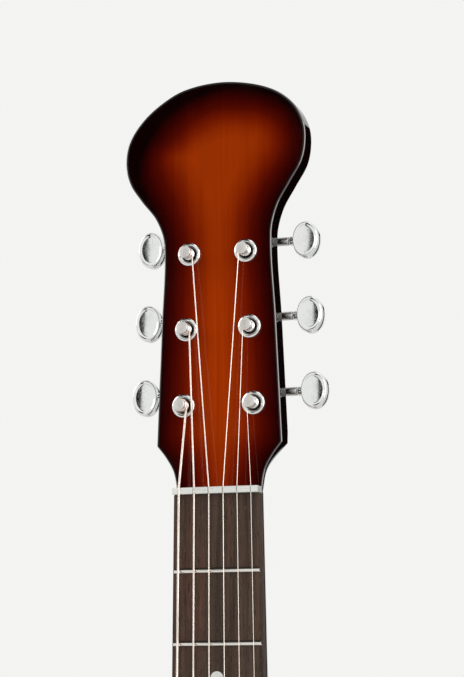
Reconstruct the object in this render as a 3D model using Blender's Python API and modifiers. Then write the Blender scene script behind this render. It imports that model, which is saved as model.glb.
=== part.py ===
"""Electric sitar: a small six-string with a gourd-shaped headstock, a bolt-on neck and a broad buzz bridge.

Sizes are in metres. X runs to the right as seen from the front, Y to the back and Z up to the headstock's tip.
The origin is the middle of the nut's edge on the fretboard's surface, where the strings' length starts.
"""

import math

import bmesh
import bpy
from mathutils import Vector
from mathutils.geometry import interpolate_bezier

NAME = "electric_sitar"
GAP = 0.0003                      # between pieces that touch

# Strings, from the thickest at -X to the thinnest at +X
SCALE_LENGTH = 0.635
GAUGES = (0.00117, 0.00091, 0.00066, 0.00043, 0.00033, 0.00025)
NUT_SPREAD = 0.0352
BRIDGE_SPREAD = 0.050

# Fretboard, frets and nut
FRET_COUNT = 21
NUT_WIDTH = 0.0421
END_WIDTH = 0.0552
FRETBOARD_END = -0.455
FRETBOARD_DEPTH = 0.0048
CROWN_RADIUS = 0.355
FRET_WIDTH = 0.0024
FRET_HEIGHT = 0.0010
NUT_THICKNESS = 0.0032
NUT_RISE = 0.0014                 # from the fretboard's surface to the strings' undersides at the nut

# Neck and headstock
NECK_FRONT = 0.0051
NECK_DEPTHS = ((0.032, 0.0112), (0.012, 0.0122), (-0.004, 0.0152), (-0.060, 0.0160), (-0.300, 0.0180),
               (-0.362, 0.0190), (-0.378, 0.0246), (FRETBOARD_END, 0.0246))
HEAD_THICKNESS = 0.0126
HEAD_BACK = NECK_FRONT + HEAD_THICKNESS
HEAD_TIP = (0, 0.2008)
HEAD_CORNER = (0.0311, 0.0240)
HEAD_RIGHT = (HEAD_TIP, (0.0158, 0.1991), (0.0295, 0.1943), (0.0385, 0.1870), (0.0434, 0.1775), (0.0443, 0.1685),
              (0.0423, 0.1585), (0.0362, 0.1482), (0.0298, 0.1370), (0.0268, 0.1235), (0.0286, 0.0840), HEAD_CORNER)
HEAD_LEFT = (HEAD_TIP, (0.0168, 0.1984), (0.0282, 0.1928), (0.0385, 0.1844), (0.0452, 0.1745), (0.0471, 0.1638),
             (0.0449, 0.1535), (0.0392, 0.1446), (0.0312, 0.1340), (0.0273, 0.1215), (0.0287, 0.0820), HEAD_CORNER)
HEAD_SHOULDER = (HEAD_CORNER, (0.0266, 0.0182), (0.0228, 0.0113), (0.0208, 0.0010))
BAR_SECTION = (0.0060, 0.0090)
BAR_ENDS = (-0.420, -0.008)

# Tuners: the posts stand in two rows, and each worm lies on the tip's side of its post
TUNERS = (("6", -1, 2), ("5", -1, 1), ("4", -1, 0), ("3", 1, 0), ("2", 1, 1), ("1", 1, 2))
FIRST_POST = (0.0142, 0.1161)
POST_STEP = (0.0016, -0.0367)
POST_HEIGHT = 0.0080
POST_RADIUS = 0.0029
WAIST_RADIUS = 0.0021
WINDING_HEIGHT = 0.0040
BUSHING_RADIUS = 0.0057
BARREL_RADIUS = 0.0041
BUSHING_BORE = POST_RADIUS + GAP
GEAR_TEETH = 14
GEAR_RADIUS = 0.0049
GEAR_HALF_WIDTH = 0.0013
WORM_RADIUS = 0.0021
WORM_TURNS = 3
TOOTH_DEPTH = 0.0005              # above and below the pitch radius
WORM_OFFSET = GEAR_RADIUS + WORM_RADIUS
WORM_LEAD = math.tau * GEAR_RADIUS / GEAR_TEETH
SHAFT_Y = HEAD_BACK + 0.0049
COLLAR_RADIUS = 0.0021
STEM_RADIUS = 0.0013
PLATE_THICKNESS = 0.0010
COVER_HALF_WIDTH = 0.0075
COVER_WALL = 0.0008
COVER_Z = (-0.0071, 0.0114)       # from the post's axis
COVER_BACK = SHAFT_Y + 0.0055
PLATE_Z = (-0.0135, 0.0165)       # beyond the last and the first post
BUTTON_REACH = 0.0252             # from the post's axis to the button's middle
BUTTON_LENGTH = 0.0180
BUTTON_WIDTH = 0.0132
BUTTON_THICKNESS = 0.0064
BUTTON_COLLAR_RADIUS = 0.0024

# Body
BODY_FRONT = 0.008
BODY_DEPTH = 0.045
BODY_BACK = BODY_FRONT + BODY_DEPTH
SHEET = 0.0032
FRAME_FRONT = BODY_FRONT + SHEET + GAP
FRAME_BACK = BODY_BACK - SHEET - GAP
RIM_WIDTH = 0.018
BLOCK_HALF_WIDTH = 0.050
TRIM_THICKNESS = 0.0008
BODY_TOP = -0.372
BODY_BOTTOM = -0.778
BODY_HALF = ((0, BODY_TOP), (0.055, -0.378), (0.090, -0.403), (0.099, -0.445), (0.096, -0.495), (0.110, -0.545),
             (0.145, -0.592), (0.165, -0.648), (0.152, -0.708), (0.110, -0.753), (0.055, -0.773), (0, BODY_BOTTOM))
PICKGUARD = ((0.036, -0.487), (0.060, -0.486), (0.084, -0.506), (0.099, -0.556), (0.133, -0.604), (0.149, -0.652),
             (0.136, -0.702), (0.100, -0.735), (0.066, -0.724), (0.055, -0.665), (0.055, -0.560), (0.038, -0.512))
PICKGUARD_THICKNESS = 0.0020
BOLT_RADIUS = 0.0021
BOLT_SPACING = (0.038, 0.042)
BOLT_TIP = 0.014
NECK_PLATE = (0.051, 0.056, 0.0016)
NECK_PLATE_Z = -0.420

# Pickup
PICKUP_Z = -0.545
PICKUP_RADIUS = 0.0075
PICKUP_HALF_LENGTH = 0.0445
PICKUP_WALL = 0.0006
PICKUP_Y = 0.0100
PICKUP_SLOT = (0.096, 0.018, 0.026)
LEAD_HOLE = 0.0015

# Bridge and tailpiece
BRIDGE_HALF_WIDTH = 0.038
BRIDGE_CREST = (-SCALE_LENGTH - 0.005, -0.0043)
BRIDGE_Z = (-0.662, -0.628)
BRIDGE_FALL = 2.5                 # drop of the curved top, per metre squared from its crest
BRIDGE_UNDERSIDE = 0.0004
BRIDGE_STEPS = 6
HINGE = (0.0025, -0.664)
HINGE_PIN_RADIUS = 0.0014
HINGE_BARREL_RADIUS = 0.0028
BASE_THICKNESS = 0.0020
BASE_Z = (-0.672, -0.622)
LUG_WIDTH = 0.0030
TILT_SCREW = (0.033, -0.632, 0.0015, 0.0190)
TAILPIECE_Z = (-0.702, -0.690)
TAILPIECE_HALF_WIDTH = 0.033
TAILPIECE_FRONT = -0.0030
TAIL_STRING_Y = 0.0005
TAIL_SPREAD = 0.050

# Controls, each given by its place in X and Z
CONTROLS = {"volume": (0.088, -0.604), "tone": (0.106, -0.652)}
POT_RADIUS = 0.0120
POT_DEPTH = 0.0090
BUSH_RADIUS = 0.0047
SHAFT_RADIUS = 0.0031
KNOB_RADIUS = 0.0115
KNOB_HEIGHT = 0.0135
JACK = (0.088, -0.700)
JACK_BORE = 0.00325
JACK_DEPTH = 0.0280
STRAP_UPPER_Z = -0.440

MATERIALS = {
    "sunburst_lacquer": ((0.22, 0.045, 0.006), 0.08, 0.0),
    "rosewood": ((0.035, 0.022, 0.017), 0.55, 0.0),
    "plain_wood": ((0.50, 0.34, 0.18), 0.60, 0.0),
    "aluminium": ((0.72, 0.72, 0.72), 0.30, 1.0),
    "chrome": ((0.80, 0.80, 0.80), 0.07, 1.0),
    "steel": ((0.60, 0.58, 0.56), 0.28, 1.0),
    "string_steel": ((0.75, 0.70, 0.67), 0.22, 1.0),
    "brass": ((0.75, 0.55, 0.25), 0.30, 1.0),
    "lacquered_board": ((0.20, 0.040, 0.006), 0.10, 0.0),
    "trim": ((0.80, 0.76, 0.66), 0.55, 0.0),
    "white_plastic": ((0.82, 0.80, 0.74), 0.20, 0.0),
    "black_plastic": ((0.02, 0.02, 0.02), 0.25, 0.0),
    "coil": ((0.25, 0.07, 0.03), 0.45, 0.0),
    "cable": ((0.05, 0.05, 0.05), 0.60, 0.0),
}


# Helpers

def new_collection(name):
    collection = bpy.data.collections.new(name)
    bpy.context.scene.collection.children.link(collection)
    return collection


def new_material(name, colour, roughness, metallic):
    material = bpy.data.materials.new(name)
    material.use_nodes = True
    shader = material.node_tree.nodes["Principled BSDF"]
    shader.inputs["Base Color"].default_value = (*colour, 1)
    shader.inputs["Roughness"].default_value = roughness
    shader.inputs["Metallic"].default_value = metallic
    return material


def place(obj, material=None):
    """Links an object: a piece with its material, or a shape that only cuts or joins another."""
    if material:
        obj.data.materials.append(bpy.data.materials[material])
        bpy.data.collections[NAME].objects.link(obj)
    else:
        bpy.data.collections["tools"].objects.link(obj)
        obj.hide_render = True
        obj.display_type = "WIRE"
    return obj


def mesh_object(name, mesh, material=None, rounded=False):
    obj = place(bpy.data.objects.new(name, mesh), material)
    if rounded:
        mesh.shade_smooth()
        mesh.set_sharp_from_angle(angle=math.radians(35))
    else:
        mesh.shade_flat()
    return obj


def evaluated_mesh(obj):
    """The mesh of a curve or of an object with modifiers, with its loose caps welded on."""
    bpy.context.view_layer.update()
    depsgraph = bpy.context.evaluated_depsgraph_get()
    mesh = bpy.data.meshes.new_from_object(obj.evaluated_get(depsgraph))
    bm = bmesh.new()
    bm.from_mesh(mesh)
    bmesh.ops.remove_doubles(bm, verts=bm.verts, dist=1e-6)
    bm.to_mesh(mesh)
    bm.free()
    mesh.name = obj.name
    return mesh


def boolean(obj, operation, *tools):
    for tool in tools:
        modifier = obj.modifiers.new(tool.name, "BOOLEAN")
        modifier.operation = operation
        modifier.solver = "EXACT"
        modifier.object = tool
    return obj


def cut(obj, *tools):
    return boolean(obj, "DIFFERENCE", *tools)


def join(obj, *tools):
    return boolean(obj, "UNION", *tools)


def bevel(obj, width, segments=1, angle=40):
    modifier = obj.modifiers.new("edges", "BEVEL")
    modifier.width = width
    modifier.segments = segments
    modifier.limit_method = "ANGLE"
    modifier.angle_limit = math.radians(angle)
    return obj


def box(name, low, high, material=None):
    """A box between two corners, with its origin in its middle."""
    low, high = Vector(low), Vector(high)
    mesh = bpy.data.meshes.new(name)
    bm = bmesh.new()
    bmesh.ops.create_cube(bm, size=1)
    bmesh.ops.scale(bm, verts=bm.verts, vec=high - low)
    bm.to_mesh(mesh)
    bm.free()
    obj = mesh_object(name, mesh, material)
    obj.location = (low + high) / 2
    return obj


def turned(name, profile, location, axis, material=None, segments=12):
    """A turned piece: (radius, height) points, down the outer side, round an axis through its location."""
    mesh = bpy.data.meshes.new(name)
    closed = profile[0][0] > 0
    edges = [(i, i + 1) for i in range(len(profile) - 1)]
    if closed:
        edges.append((len(profile) - 1, 0))
    mesh.from_pydata([(radius, 0, height) for radius, height in profile], edges, [])
    obj = place(bpy.data.objects.new(name, mesh), material)
    obj.location = location
    obj.rotation_euler = Vector(axis).to_track_quat("Z", "Y").to_euler()
    screw = obj.modifiers.new("turn", "SCREW")
    screw.steps = screw.render_steps = segments
    screw.use_merge_vertices = True
    screw.merge_threshold = 1e-5
    return obj


def rod(name, start, end, radius, material=None, segments=12):
    """A cylinder from one point to another, its origin at the first."""
    start, end = Vector(start), Vector(end)
    length = (end - start).length
    return turned(name, [(0, length), (radius, length), (radius, 0), (0, 0)], start, end - start, material, segments)


def prism(name, outline, low, high, axis="Y", material=None):
    """A flat outline filled from low to high along an axis. The outline is in X and Z along Y, in X and Y along Z,
    and in Y and Z along X."""
    curve = bpy.data.curves.new(name, "CURVE")
    curve.dimensions = "2D"
    curve.fill_mode = "BOTH"
    curve.extrude = (high - low) / 2
    spline = curve.splines.new("POLY")
    spline.points.add(len(outline) - 1)
    spline.use_cyclic_u = True
    for point, (u, v) in zip(spline.points, outline):
        point.co = (u, v, 0, 1)
    source = place(bpy.data.objects.new(name, curve))
    mesh = evaluated_mesh(source)
    bpy.data.objects.remove(source)
    bpy.data.curves.remove(curve)
    obj = mesh_object(name, mesh, material)
    middle = (low + high) / 2
    quarter = math.pi / 2
    obj.rotation_euler, obj.location = {
        "X": ((quarter, 0, quarter), (middle, 0, 0)),
        "Y": ((quarter, 0, 0), (0, middle, 0)),
        "Z": ((0, 0, 0), (0, 0, middle)),
    }[axis]
    return obj


def wire(name, route, radius, material):
    """A round wire along its route's points."""
    curve = bpy.data.curves.new(name, "CURVE")
    curve.dimensions = "3D"
    curve.bevel_depth = radius
    curve.bevel_resolution = 2
    curve.use_fill_caps = True
    spline = curve.splines.new("POLY")
    spline.points.add(len(route) - 1)
    for point, stop in zip(spline.points, route):
        point.co = (*stop, 1)
    source = place(bpy.data.objects.new(name, curve))
    mesh = evaluated_mesh(source)
    bpy.data.objects.remove(source)
    bpy.data.curves.remove(curve)
    return mesh_object(name, mesh, material, rounded=True)


def loft(name, rings, material=None):
    """A closed skin over rings of equal length, capped at both ends."""
    mesh = bpy.data.meshes.new(name)
    bm = bmesh.new()
    loops = [[bm.verts.new(point) for point in ring] for ring in rings]
    for here, after in zip(loops, loops[1:]):
        for i in range(len(here)):
            j = (i + 1) % len(here)
            bm.faces.new((here[i], here[j], after[j], after[i]))
    bm.faces.new(reversed(loops[0]))
    bm.faces.new(loops[-1])
    bmesh.ops.recalc_face_normals(bm, faces=bm.faces)
    bm.to_mesh(mesh)
    bm.free()
    return mesh_object(name, mesh, material, rounded=True)


def smooth(knots, steps, before=None, after=None):
    """Points along a smooth curve through the knots. before and after are its neighbours past the two ends."""
    knots = [Vector(knot) for knot in knots]
    first = Vector(before) if before else 2 * knots[0] - knots[1]
    last = Vector(after) if after else 2 * knots[-1] - knots[-2]
    row = [first, *knots, last]
    points = []
    for a, b, c, d in zip(row, row[1:], row[2:], row[3:]):
        reach = (c - b).length / 3
        points += interpolate_bezier(b, b + (c - a).normalized() * reach, c - (d - b).normalized() * reach, c, steps)[:-1]
    return [tuple(point) for point in (*points, knots[-1])]


def mirrored(half):
    """A whole outline from its +X half, which starts and may end on the middle line."""
    other = [(-x, z) for x, z in reversed(half) if x > 1e-6]
    return list(half) + other


def inset(outline, distance):
    """A closed outline moved inwards, or outwards where the distance is negative. It runs clockwise."""
    points = [Vector(point) for point in outline]
    moved = []
    for before, here, after in zip([points[-1], *points], points, [*points[1:], points[0]]):
        along = (after - before).normalized()
        moved.append(tuple(here + Vector((along.y, -along.x)) * distance))
    return moved


# Places that several pieces share

def across(z, at_nut, at_end, end):
    """A width that tapers from the nut to a given Z."""
    return at_nut + (at_end - at_nut) * z / end


def board_half(z):
    return across(z, NUT_WIDTH, END_WIDTH, FRETBOARD_END) / 2


def crown(x):
    """How far the fretboard's surface falls to the back at a distance from its middle line."""
    return CROWN_RADIUS - math.sqrt(CROWN_RADIUS ** 2 - x ** 2)


def fret_z(number):
    return -SCALE_LENGTH * (1 - 2 ** (-number / 12))


def string_x(index, spread):
    return spread * (index / 5 - 0.5)


def post_place(side, row):
    return side * (FIRST_POST[0] + POST_STEP[0] * row), FIRST_POST[1] + POST_STEP[1] * row


def bridge_top(z):
    return BRIDGE_CREST[1] + BRIDGE_FALL * (z - BRIDGE_CREST[0]) ** 2


def bridge_stations():
    low, high = BRIDGE_Z
    return [high + (low - high) * i / BRIDGE_STEPS for i in range(BRIDGE_STEPS + 1)]


def pocket_tool(name, back):
    """Cuts the neck's pocket, which is the heel's tapered outline with a gap round it."""
    above = -0.300
    half_low, half_high = board_half(FRETBOARD_END) + GAP, board_half(above) + GAP
    low = FRETBOARD_END - GAP
    outline = [(-half_high, above), (half_high, above), (half_low, low), (-half_low, low)]
    return prism(name, outline, -0.020, back)


# Neck

def neck_ring(z, depth):
    """A neck section: flat in front and round behind, squarer at the heel."""
    half = board_half(min(z, 0)) if z < 0.001 else NUT_WIDTH / 2 - 0.0012
    power = 2.2 if z > -0.37 else 7.0
    ring = []
    for i in range(13):
        angle = math.pi * i / 12
        x = half * math.copysign(abs(math.cos(angle)) ** (2 / power), math.cos(angle))
        y = NECK_FRONT + depth * math.sin(angle) ** (2 / power)
        ring.append((x, y, z))
    return ring


def head_outline():
    """The headstock's outline, clockwise from its tip. One lobe sits a little lower than the other."""
    right = smooth(HEAD_RIGHT, 3, before=(-HEAD_LEFT[1][0], HEAD_LEFT[1][1]))
    left = smooth(HEAD_LEFT, 3, before=(-HEAD_RIGHT[1][0], HEAD_RIGHT[1][1]))
    shoulder = smooth(HEAD_SHOULDER, 2)[1:]
    return right + shoulder + [(-x, z) for x, z in reversed(left[1:] + shoulder)]


def make_neck():
    neck = loft("neck", [neck_ring(z, depth) for z, depth in NECK_DEPTHS], "sunburst_lacquer")
    head = bevel(prism("headstock", head_outline(), NECK_FRONT, HEAD_BACK), 0.0010, angle=60)
    join(neck, head)
    bar_x, bar_y = BAR_SECTION
    slot_low = (-bar_x / 2 - GAP, NECK_FRONT - 0.001, BAR_ENDS[0] - GAP)
    slot_high = (bar_x / 2 + GAP, NECK_FRONT + bar_y + 2 * GAP, BAR_ENDS[1] + GAP)
    cut(neck, box("bar_slot", slot_low, slot_high))
    for number, side, row in TUNERS:
        x, z = post_place(side, row)
        hole = rod(f"post_hole_{number}", (x, HEAD_BACK + 0.002, z), (x, NECK_FRONT - 0.002, z), BARREL_RADIUS + 0.0004)
        cut(neck, hole)
    for i, (x, z) in enumerate(bolt_places()):
        cut(neck, rod(f"heel_hole_{i}", (x, BODY_BACK, z), (x, BOLT_TIP - GAP, z), BOLT_RADIUS + GAP, segments=8))


def make_reinforcing_bar():
    bar_x, bar_y = BAR_SECTION
    low = (-bar_x / 2, NECK_FRONT + GAP, BAR_ENDS[0])
    high = (bar_x / 2, NECK_FRONT + GAP + bar_y, BAR_ENDS[1])
    bevel(box("reinforcing_bar", low, high, "steel"), 0.0008)


def make_fretboard():
    def section(z):
        half = board_half(z)
        back = FRETBOARD_DEPTH
        across_x = [half * f for f in (1, 0.34, -0.34, -1)]
        return [(x, crown(x), z) for x in across_x] + [(-half, back, z), (half, back, z)]

    board = loft("fretboard", [section(0), section(FRETBOARD_END)], "rosewood")
    for number in range(1, FRET_COUNT + 1):
        z = fret_z(number)
        half = board_half(z) - 0.0004
        rings = []
        for f in (-1, -0.34, 0.34, 1):
            x = half * f
            y = crown(x)
            top = y - FRET_HEIGHT
            foot, head = FRET_WIDTH / 2, FRET_WIDTH / 5
            rings.append([(x, y + 0.001, z - foot), (x, top + 0.0005, z - foot), (x, top, z - head),
                          (x, top, z + head), (x, top + 0.0005, z + foot), (x, y + 0.001, z + foot)])
        join(board, loft(f"fret_{number}", rings))


def comb_outline(half_width, front, back, notches):
    """A bar's section in X and Y with open notches in its front, each given as (x, half width, floor)."""
    points = [(-half_width, back), (-half_width, front(-half_width))]
    for x, half, floor in notches:
        points += [(x - half, front(x - half)), (x - half, floor), (x + half, floor), (x + half, front(x + half))]
    return points + [(half_width, front(half_width)), (half_width, back)]


def make_nut():
    notches = []
    for i, gauge in enumerate(GAUGES):
        notches.append((string_x(i, NUT_SPREAD), gauge / 2 + GAP, -NUT_RISE + GAP))
    outline = comb_outline(NUT_WIDTH / 2, lambda x: crown(x) - 0.0026, NECK_FRONT - GAP, notches)
    prism("nut", outline, GAP, NUT_THICKNESS, "Z", "aluminium")


def make_strings():
    for i, (number, side, row) in enumerate(TUNERS):
        radius = GAUGES[i] / 2
        post_x, post_z = post_place(side, row)
        tangent_x = post_x - side * (WAIST_RADIUS + 2 * radius + GAP + radius)
        nut_x, bridge_x = string_x(i, NUT_SPREAD), string_x(i, BRIDGE_SPREAD)
        route = [(tangent_x, NECK_FRONT - WINDING_HEIGHT, post_z),
                 (nut_x, -NUT_RISE - radius, NUT_THICKNESS),
                 (nut_x, -NUT_RISE - radius, 0)]
        for z in bridge_stations():
            if z <= BRIDGE_CREST[0] + 1e-6:
                route.append((bridge_x, bridge_top(z) - GAP - radius, z))
        tail_x = string_x(i, TAIL_SPREAD)
        route += [(tail_x, TAIL_STRING_Y, TAILPIECE_Z[1]), (tail_x, TAIL_STRING_Y, TAILPIECE_Z[0] - 0.002)]
        wire(f"string_{number}", route, radius, "string_steel")


# Tuners

def make_bushings():
    face = NECK_FRONT - GAP
    for number, side, row in TUNERS:
        x, z = post_place(side, row)
        rim = BUSHING_RADIUS
        profile = [(rim - 0.0009, 0.0013), (rim - 0.0002, 0.0011), (rim, 0.0004), (rim, 0), (BARREL_RADIUS, 0),
                   (BARREL_RADIUS, -0.010), (BUSHING_BORE, -0.010), (BUSHING_BORE, 0.0003)]
        turned(f"tuner_{number}_bushing", profile, (x, face, z), (0, -1, 0), "chrome")


def gear_ring(x, z, y, twist):
    ring = []
    pitch = math.tau / GEAR_TEETH
    for tooth in range(GEAR_TEETH):
        for offset, radius in ((-0.29, -TOOTH_DEPTH - 0.0003), (-0.11, TOOTH_DEPTH - 0.0001),
                               (0.11, TOOTH_DEPTH - 0.0001), (0.29, -TOOTH_DEPTH - 0.0003)):
            angle = (tooth + offset) * pitch + twist
            reach = GEAR_RADIUS + radius
            ring.append((x + reach * math.sin(angle), y, z + reach * math.cos(angle)))
    return ring


def make_posts():
    lead_slope = WORM_LEAD / (math.tau * WORM_RADIUS)
    twist = GEAR_HALF_WIDTH * lead_slope / GEAR_RADIUS
    for i, (number, side, row) in enumerate(TUNERS):
        x, z = post_place(side, row)
        wound = WAIST_RADIUS + GAUGES[i]
        below = WINDING_HEIGHT - 0.0016
        above = WINDING_HEIGHT + 0.0012
        top = POST_HEIGHT
        end = NECK_FRONT - SHAFT_Y - GEAR_HALF_WIDTH - 0.0012
        profile = [(0, top - 0.0004), (0.0007, top), (POST_RADIUS - 0.0003, top), (POST_RADIUS, top - 0.0003),
                   (POST_RADIUS, top - 0.0016), (WAIST_RADIUS, above + 0.0005), (wound, above), (wound, below),
                   (POST_RADIUS, below - 0.0006), (POST_RADIUS, end), (0, end)]
        post = turned(f"tuner_{number}_post", profile, (x, NECK_FRONT, z), (0, -1, 0), "chrome", 10)
        front, back = SHAFT_Y - GEAR_HALF_WIDTH, SHAFT_Y + GEAR_HALF_WIDTH
        gear = loft(f"gear_{number}", [gear_ring(x, z, front, -twist), gear_ring(x, z, back, twist)])
        join(post, gear)


def make_worm_shafts():
    core = WORM_RADIUS - TOOTH_DEPTH - 0.0002
    root, tip = 0.00052, 0.00022
    ridge = [(WORM_RADIUS + TOOTH_DEPTH, tip), (WORM_RADIUS + TOOTH_DEPTH, -tip),
             (core - 0.0004, -root), (core - 0.0004, root)]
    for number, side, row in TUNERS:
        x, z = post_place(side, row)
        place_ = (x, SHAFT_Y, z + WORM_OFFSET)
        collar_end = BUTTON_REACH - BUTTON_WIDTH / 2 - 0.0022
        profile = [(0, collar_end + 0.0052), (STEM_RADIUS, collar_end + 0.0052), (STEM_RADIUS, collar_end),
                   (COLLAR_RADIUS, collar_end), (COLLAR_RADIUS, COVER_HALF_WIDTH - COVER_WALL - 0.0006),
                   (core, COVER_HALF_WIDTH - COVER_WALL - 0.0006), (core, -COVER_HALF_WIDTH + COVER_WALL + GAP),
                   (0, -COVER_HALF_WIDTH + COVER_WALL + GAP)]
        shaft = turned(f"tuner_{number}_worm_shaft", profile, place_, (side, 0, 0), "steel", 10)
        thread = turned(f"thread_{number}", ridge, place_, (0, 0, 1), segments=8)
        thread.rotation_euler = (0, math.pi / 2, 0)
        screw = thread.modifiers["turn"]
        screw.screw_offset = WORM_LEAD
        screw.iterations = WORM_TURNS
        mesh = evaluated_mesh(thread)
        bm = bmesh.new()
        bm.from_mesh(mesh)
        bmesh.ops.translate(bm, verts=bm.verts, vec=(0, 0, -WORM_LEAD * WORM_TURNS / 2))
        bmesh.ops.holes_fill(bm, edges=bm.edges, sides=0)
        bm.to_mesh(mesh)
        bm.free()
        thread.modifiers.clear()
        thread.data = mesh
        join(shaft, thread)


def make_buttons():
    half = BUTTON_THICKNESS / 2
    edge = BUTTON_WIDTH / 2
    profile = [(0, half - 0.0009), (edge - 0.0018, half - 0.0006), (edge - 0.0007, half), (edge, half - 0.0010),
               (edge, -half + 0.0010), (edge - 0.0007, -half), (edge - 0.0018, -half + 0.0006), (0, -half + 0.0009)]
    for number, side, row in TUNERS:
        x, z = post_place(side, row)
        axis_z = z + WORM_OFFSET
        name = f"tuner_{number}_button"
        button = turned(name, profile, (x + side * BUTTON_REACH, SHAFT_Y, axis_z), (0, -1, 0), "chrome", 14)
        button.scale.y = BUTTON_LENGTH / BUTTON_WIDTH
        collar_start = x + side * (BUTTON_REACH - edge - 0.0016)
        middle = (x + side * (BUTTON_REACH - 0.002), SHAFT_Y, axis_z)
        join(button, rod(f"button_collar_{number}", (collar_start, SHAFT_Y, axis_z), middle, BUTTON_COLLAR_RADIUS, segments=8))
        bore_start = (collar_start - side * 0.001, SHAFT_Y, axis_z)
        bore_end = (x + side * (BUTTON_REACH - BUTTON_WIDTH / 2 + 0.0034), SHAFT_Y, axis_z)
        cut(button, rod(f"button_bore_{number}", bore_start, bore_end, STEM_RADIUS + GAP, segments=8))


def make_tuner_plates():
    front = HEAD_BACK + GAP
    back = front + PLATE_THICKNESS
    for name, side in (("left", -1), ("right", 1)):
        x_top, z_top = post_place(side, 0)
        x_low, z_low = post_place(side, 2)
        lean = (x_low - x_top) / (z_low - z_top)

        def edge(z, offset):
            return x_top + (z - z_top) * lean + offset, z

        low, high = z_low + PLATE_Z[0], z_top + PLATE_Z[1]
        outline = [edge(low, -COVER_HALF_WIDTH), edge(high, -COVER_HALF_WIDTH), edge(high, COVER_HALF_WIDTH),
                   edge(low, COVER_HALF_WIDTH)]
        plate = prism(f"tuner_plate_{name}", outline, front, back, material="chrome")
        for number, its_side, row in TUNERS:
            if its_side != side:
                continue
            x, z = post_place(side, row)
            wall = COVER_WALL
            cover = box(f"cover_{number}", (x - COVER_HALF_WIDTH, front + 0.0004, z + COVER_Z[0]),
                        (x + COVER_HALF_WIDTH, COVER_BACK, z + COVER_Z[1]))
            hollow = box(f"hollow_{number}", (x - COVER_HALF_WIDTH + wall, back, z + COVER_Z[0] + wall),
                         (x + COVER_HALF_WIDTH - wall, COVER_BACK - wall, z + COVER_Z[1] - wall))
            axis_z = z + WORM_OFFSET
            shaft_hole = rod(f"shaft_hole_{number}", (x + side * 0.0060, SHAFT_Y, axis_z),
                             (x + side * 0.0090, SHAFT_Y, axis_z), COLLAR_RADIUS + GAP)
            post_hole = rod(f"plate_hole_{number}", (x, front - 0.001, z), (x, back + 0.0005, z), POST_RADIUS + GAP)
            join(plate, cover)
            cut(plate, hollow, shaft_hole, post_hole)


# Body

def body_outline():
    top, second = BODY_HALF[0], BODY_HALF[1]
    return mirrored(smooth(BODY_HALF, 3, before=(-second[0], second[1]), after=(-BODY_HALF[-2][0], BODY_HALF[-2][1])))


def bolt_places():
    wide, tall = BOLT_SPACING
    return [(sx * wide / 2, NECK_PLATE_Z + sz * tall / 2) for sx in (-1, 1) for sz in (-1, 1)]


def bolt_tools(name):
    return [rod(f"{name}_bolt_hole_{i}", (x, BODY_BACK + 0.002, z), (x, 0.020, z), BOLT_RADIUS + GAP, segments=8)
            for i, (x, z) in enumerate(bolt_places())]


def pickup_slot(name):
    length, width, depth = PICKUP_SLOT
    low = (-length / 2, BODY_FRONT - 0.002, PICKUP_Z - width / 2)
    return box(name, low, (length / 2, depth, PICKUP_Z + width / 2))


def tilt_screw_holes(name, radius, depth):
    x, z = TILT_SCREW[:2]
    return [rod(f"{name}_{side}", (side * x, -0.004, z), (side * x, depth, z), radius, segments=8) for side in (-1, 1)]


def control_holes(name):
    holes = [rod(f"{name}_{control}", (x, 0, z), (x, 0.015, z), BUSH_RADIUS + GAP) for control, (x, z) in CONTROLS.items()]
    x, z = JACK
    return [*holes, rod(f"{name}_jack", (x, 0, z), (x, 0.015, z), BUSH_RADIUS + GAP)]


def make_body():
    outline = body_outline()
    rim = prism("rim", outline, FRAME_FRONT, FRAME_BACK, material="plain_wood")
    inner = prism("rim_hollow", inset(outline, RIM_WIDTH), FRAME_FRONT - 0.002, FRAME_BACK + 0.002)
    cut(rim, inner, pocket_tool("rim_pocket", NECK_FRONT + NECK_DEPTHS[-1][1] + GAP), *strap_holes("rim"))

    side = BLOCK_HALF_WIDTH
    clamped = [(max(-side, min(side, x)), z) for x, z in inset(outline, RIM_WIDTH + GAP)]
    middle = [point for i, point in enumerate(clamped) if abs(point[0]) < side or point != clamped[i - 1]]
    block = prism("centre_block", middle, FRAME_FRONT, FRAME_BACK, material="plain_wood")
    cut(block, pocket_tool("block_pocket", NECK_FRONT + NECK_DEPTHS[-1][1] + GAP), pickup_slot("block_pickup"))
    lead_low = (0.040, 0.0170, PICKUP_Z - 0.004)
    cut(block, box("block_lead", lead_low, (side + 0.002, 0.0250, PICKUP_Z + 0.004)))
    cut(block, *tilt_screw_holes("block_tilt", 0.0040, 0.026), *bolt_tools("block"))

    top = prism("top_plate", outline, BODY_FRONT, BODY_FRONT + SHEET, material="lacquered_board")
    cut(top, pocket_tool("top_pocket", FRAME_FRONT + 0.001), pickup_slot("top_pickup"))
    cut(top, *tilt_screw_holes("top_tilt", 0.0036, 0.026), *control_holes("top"))

    back = prism("back_plate", outline, BODY_BACK - SHEET, BODY_BACK, material="lacquered_board")
    cut(back, *bolt_tools("back"))

    outer = inset(outline, -GAP - TRIM_THICKNESS)
    trim = prism("edge_trim", outer, BODY_FRONT + GAP, BODY_BACK - GAP, material="trim")
    trim_hollow = prism("trim_hollow", inset(outline, -GAP), BODY_FRONT - 0.002, BODY_BACK + 0.002)
    cut(trim, trim_hollow, pocket_tool("trim_pocket", NECK_FRONT + NECK_DEPTHS[-1][1] + GAP), *strap_holes("trim"))

    guard = smooth((*PICKGUARD, PICKGUARD[0]), 3, before=PICKGUARD[-1], after=PICKGUARD[1])[:-1]
    face = BODY_FRONT - GAP
    pickguard = prism("pickguard", guard, face - PICKGUARD_THICKNESS, face, material="white_plastic")
    cut(pickguard, *control_holes("pickguard"))


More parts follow.
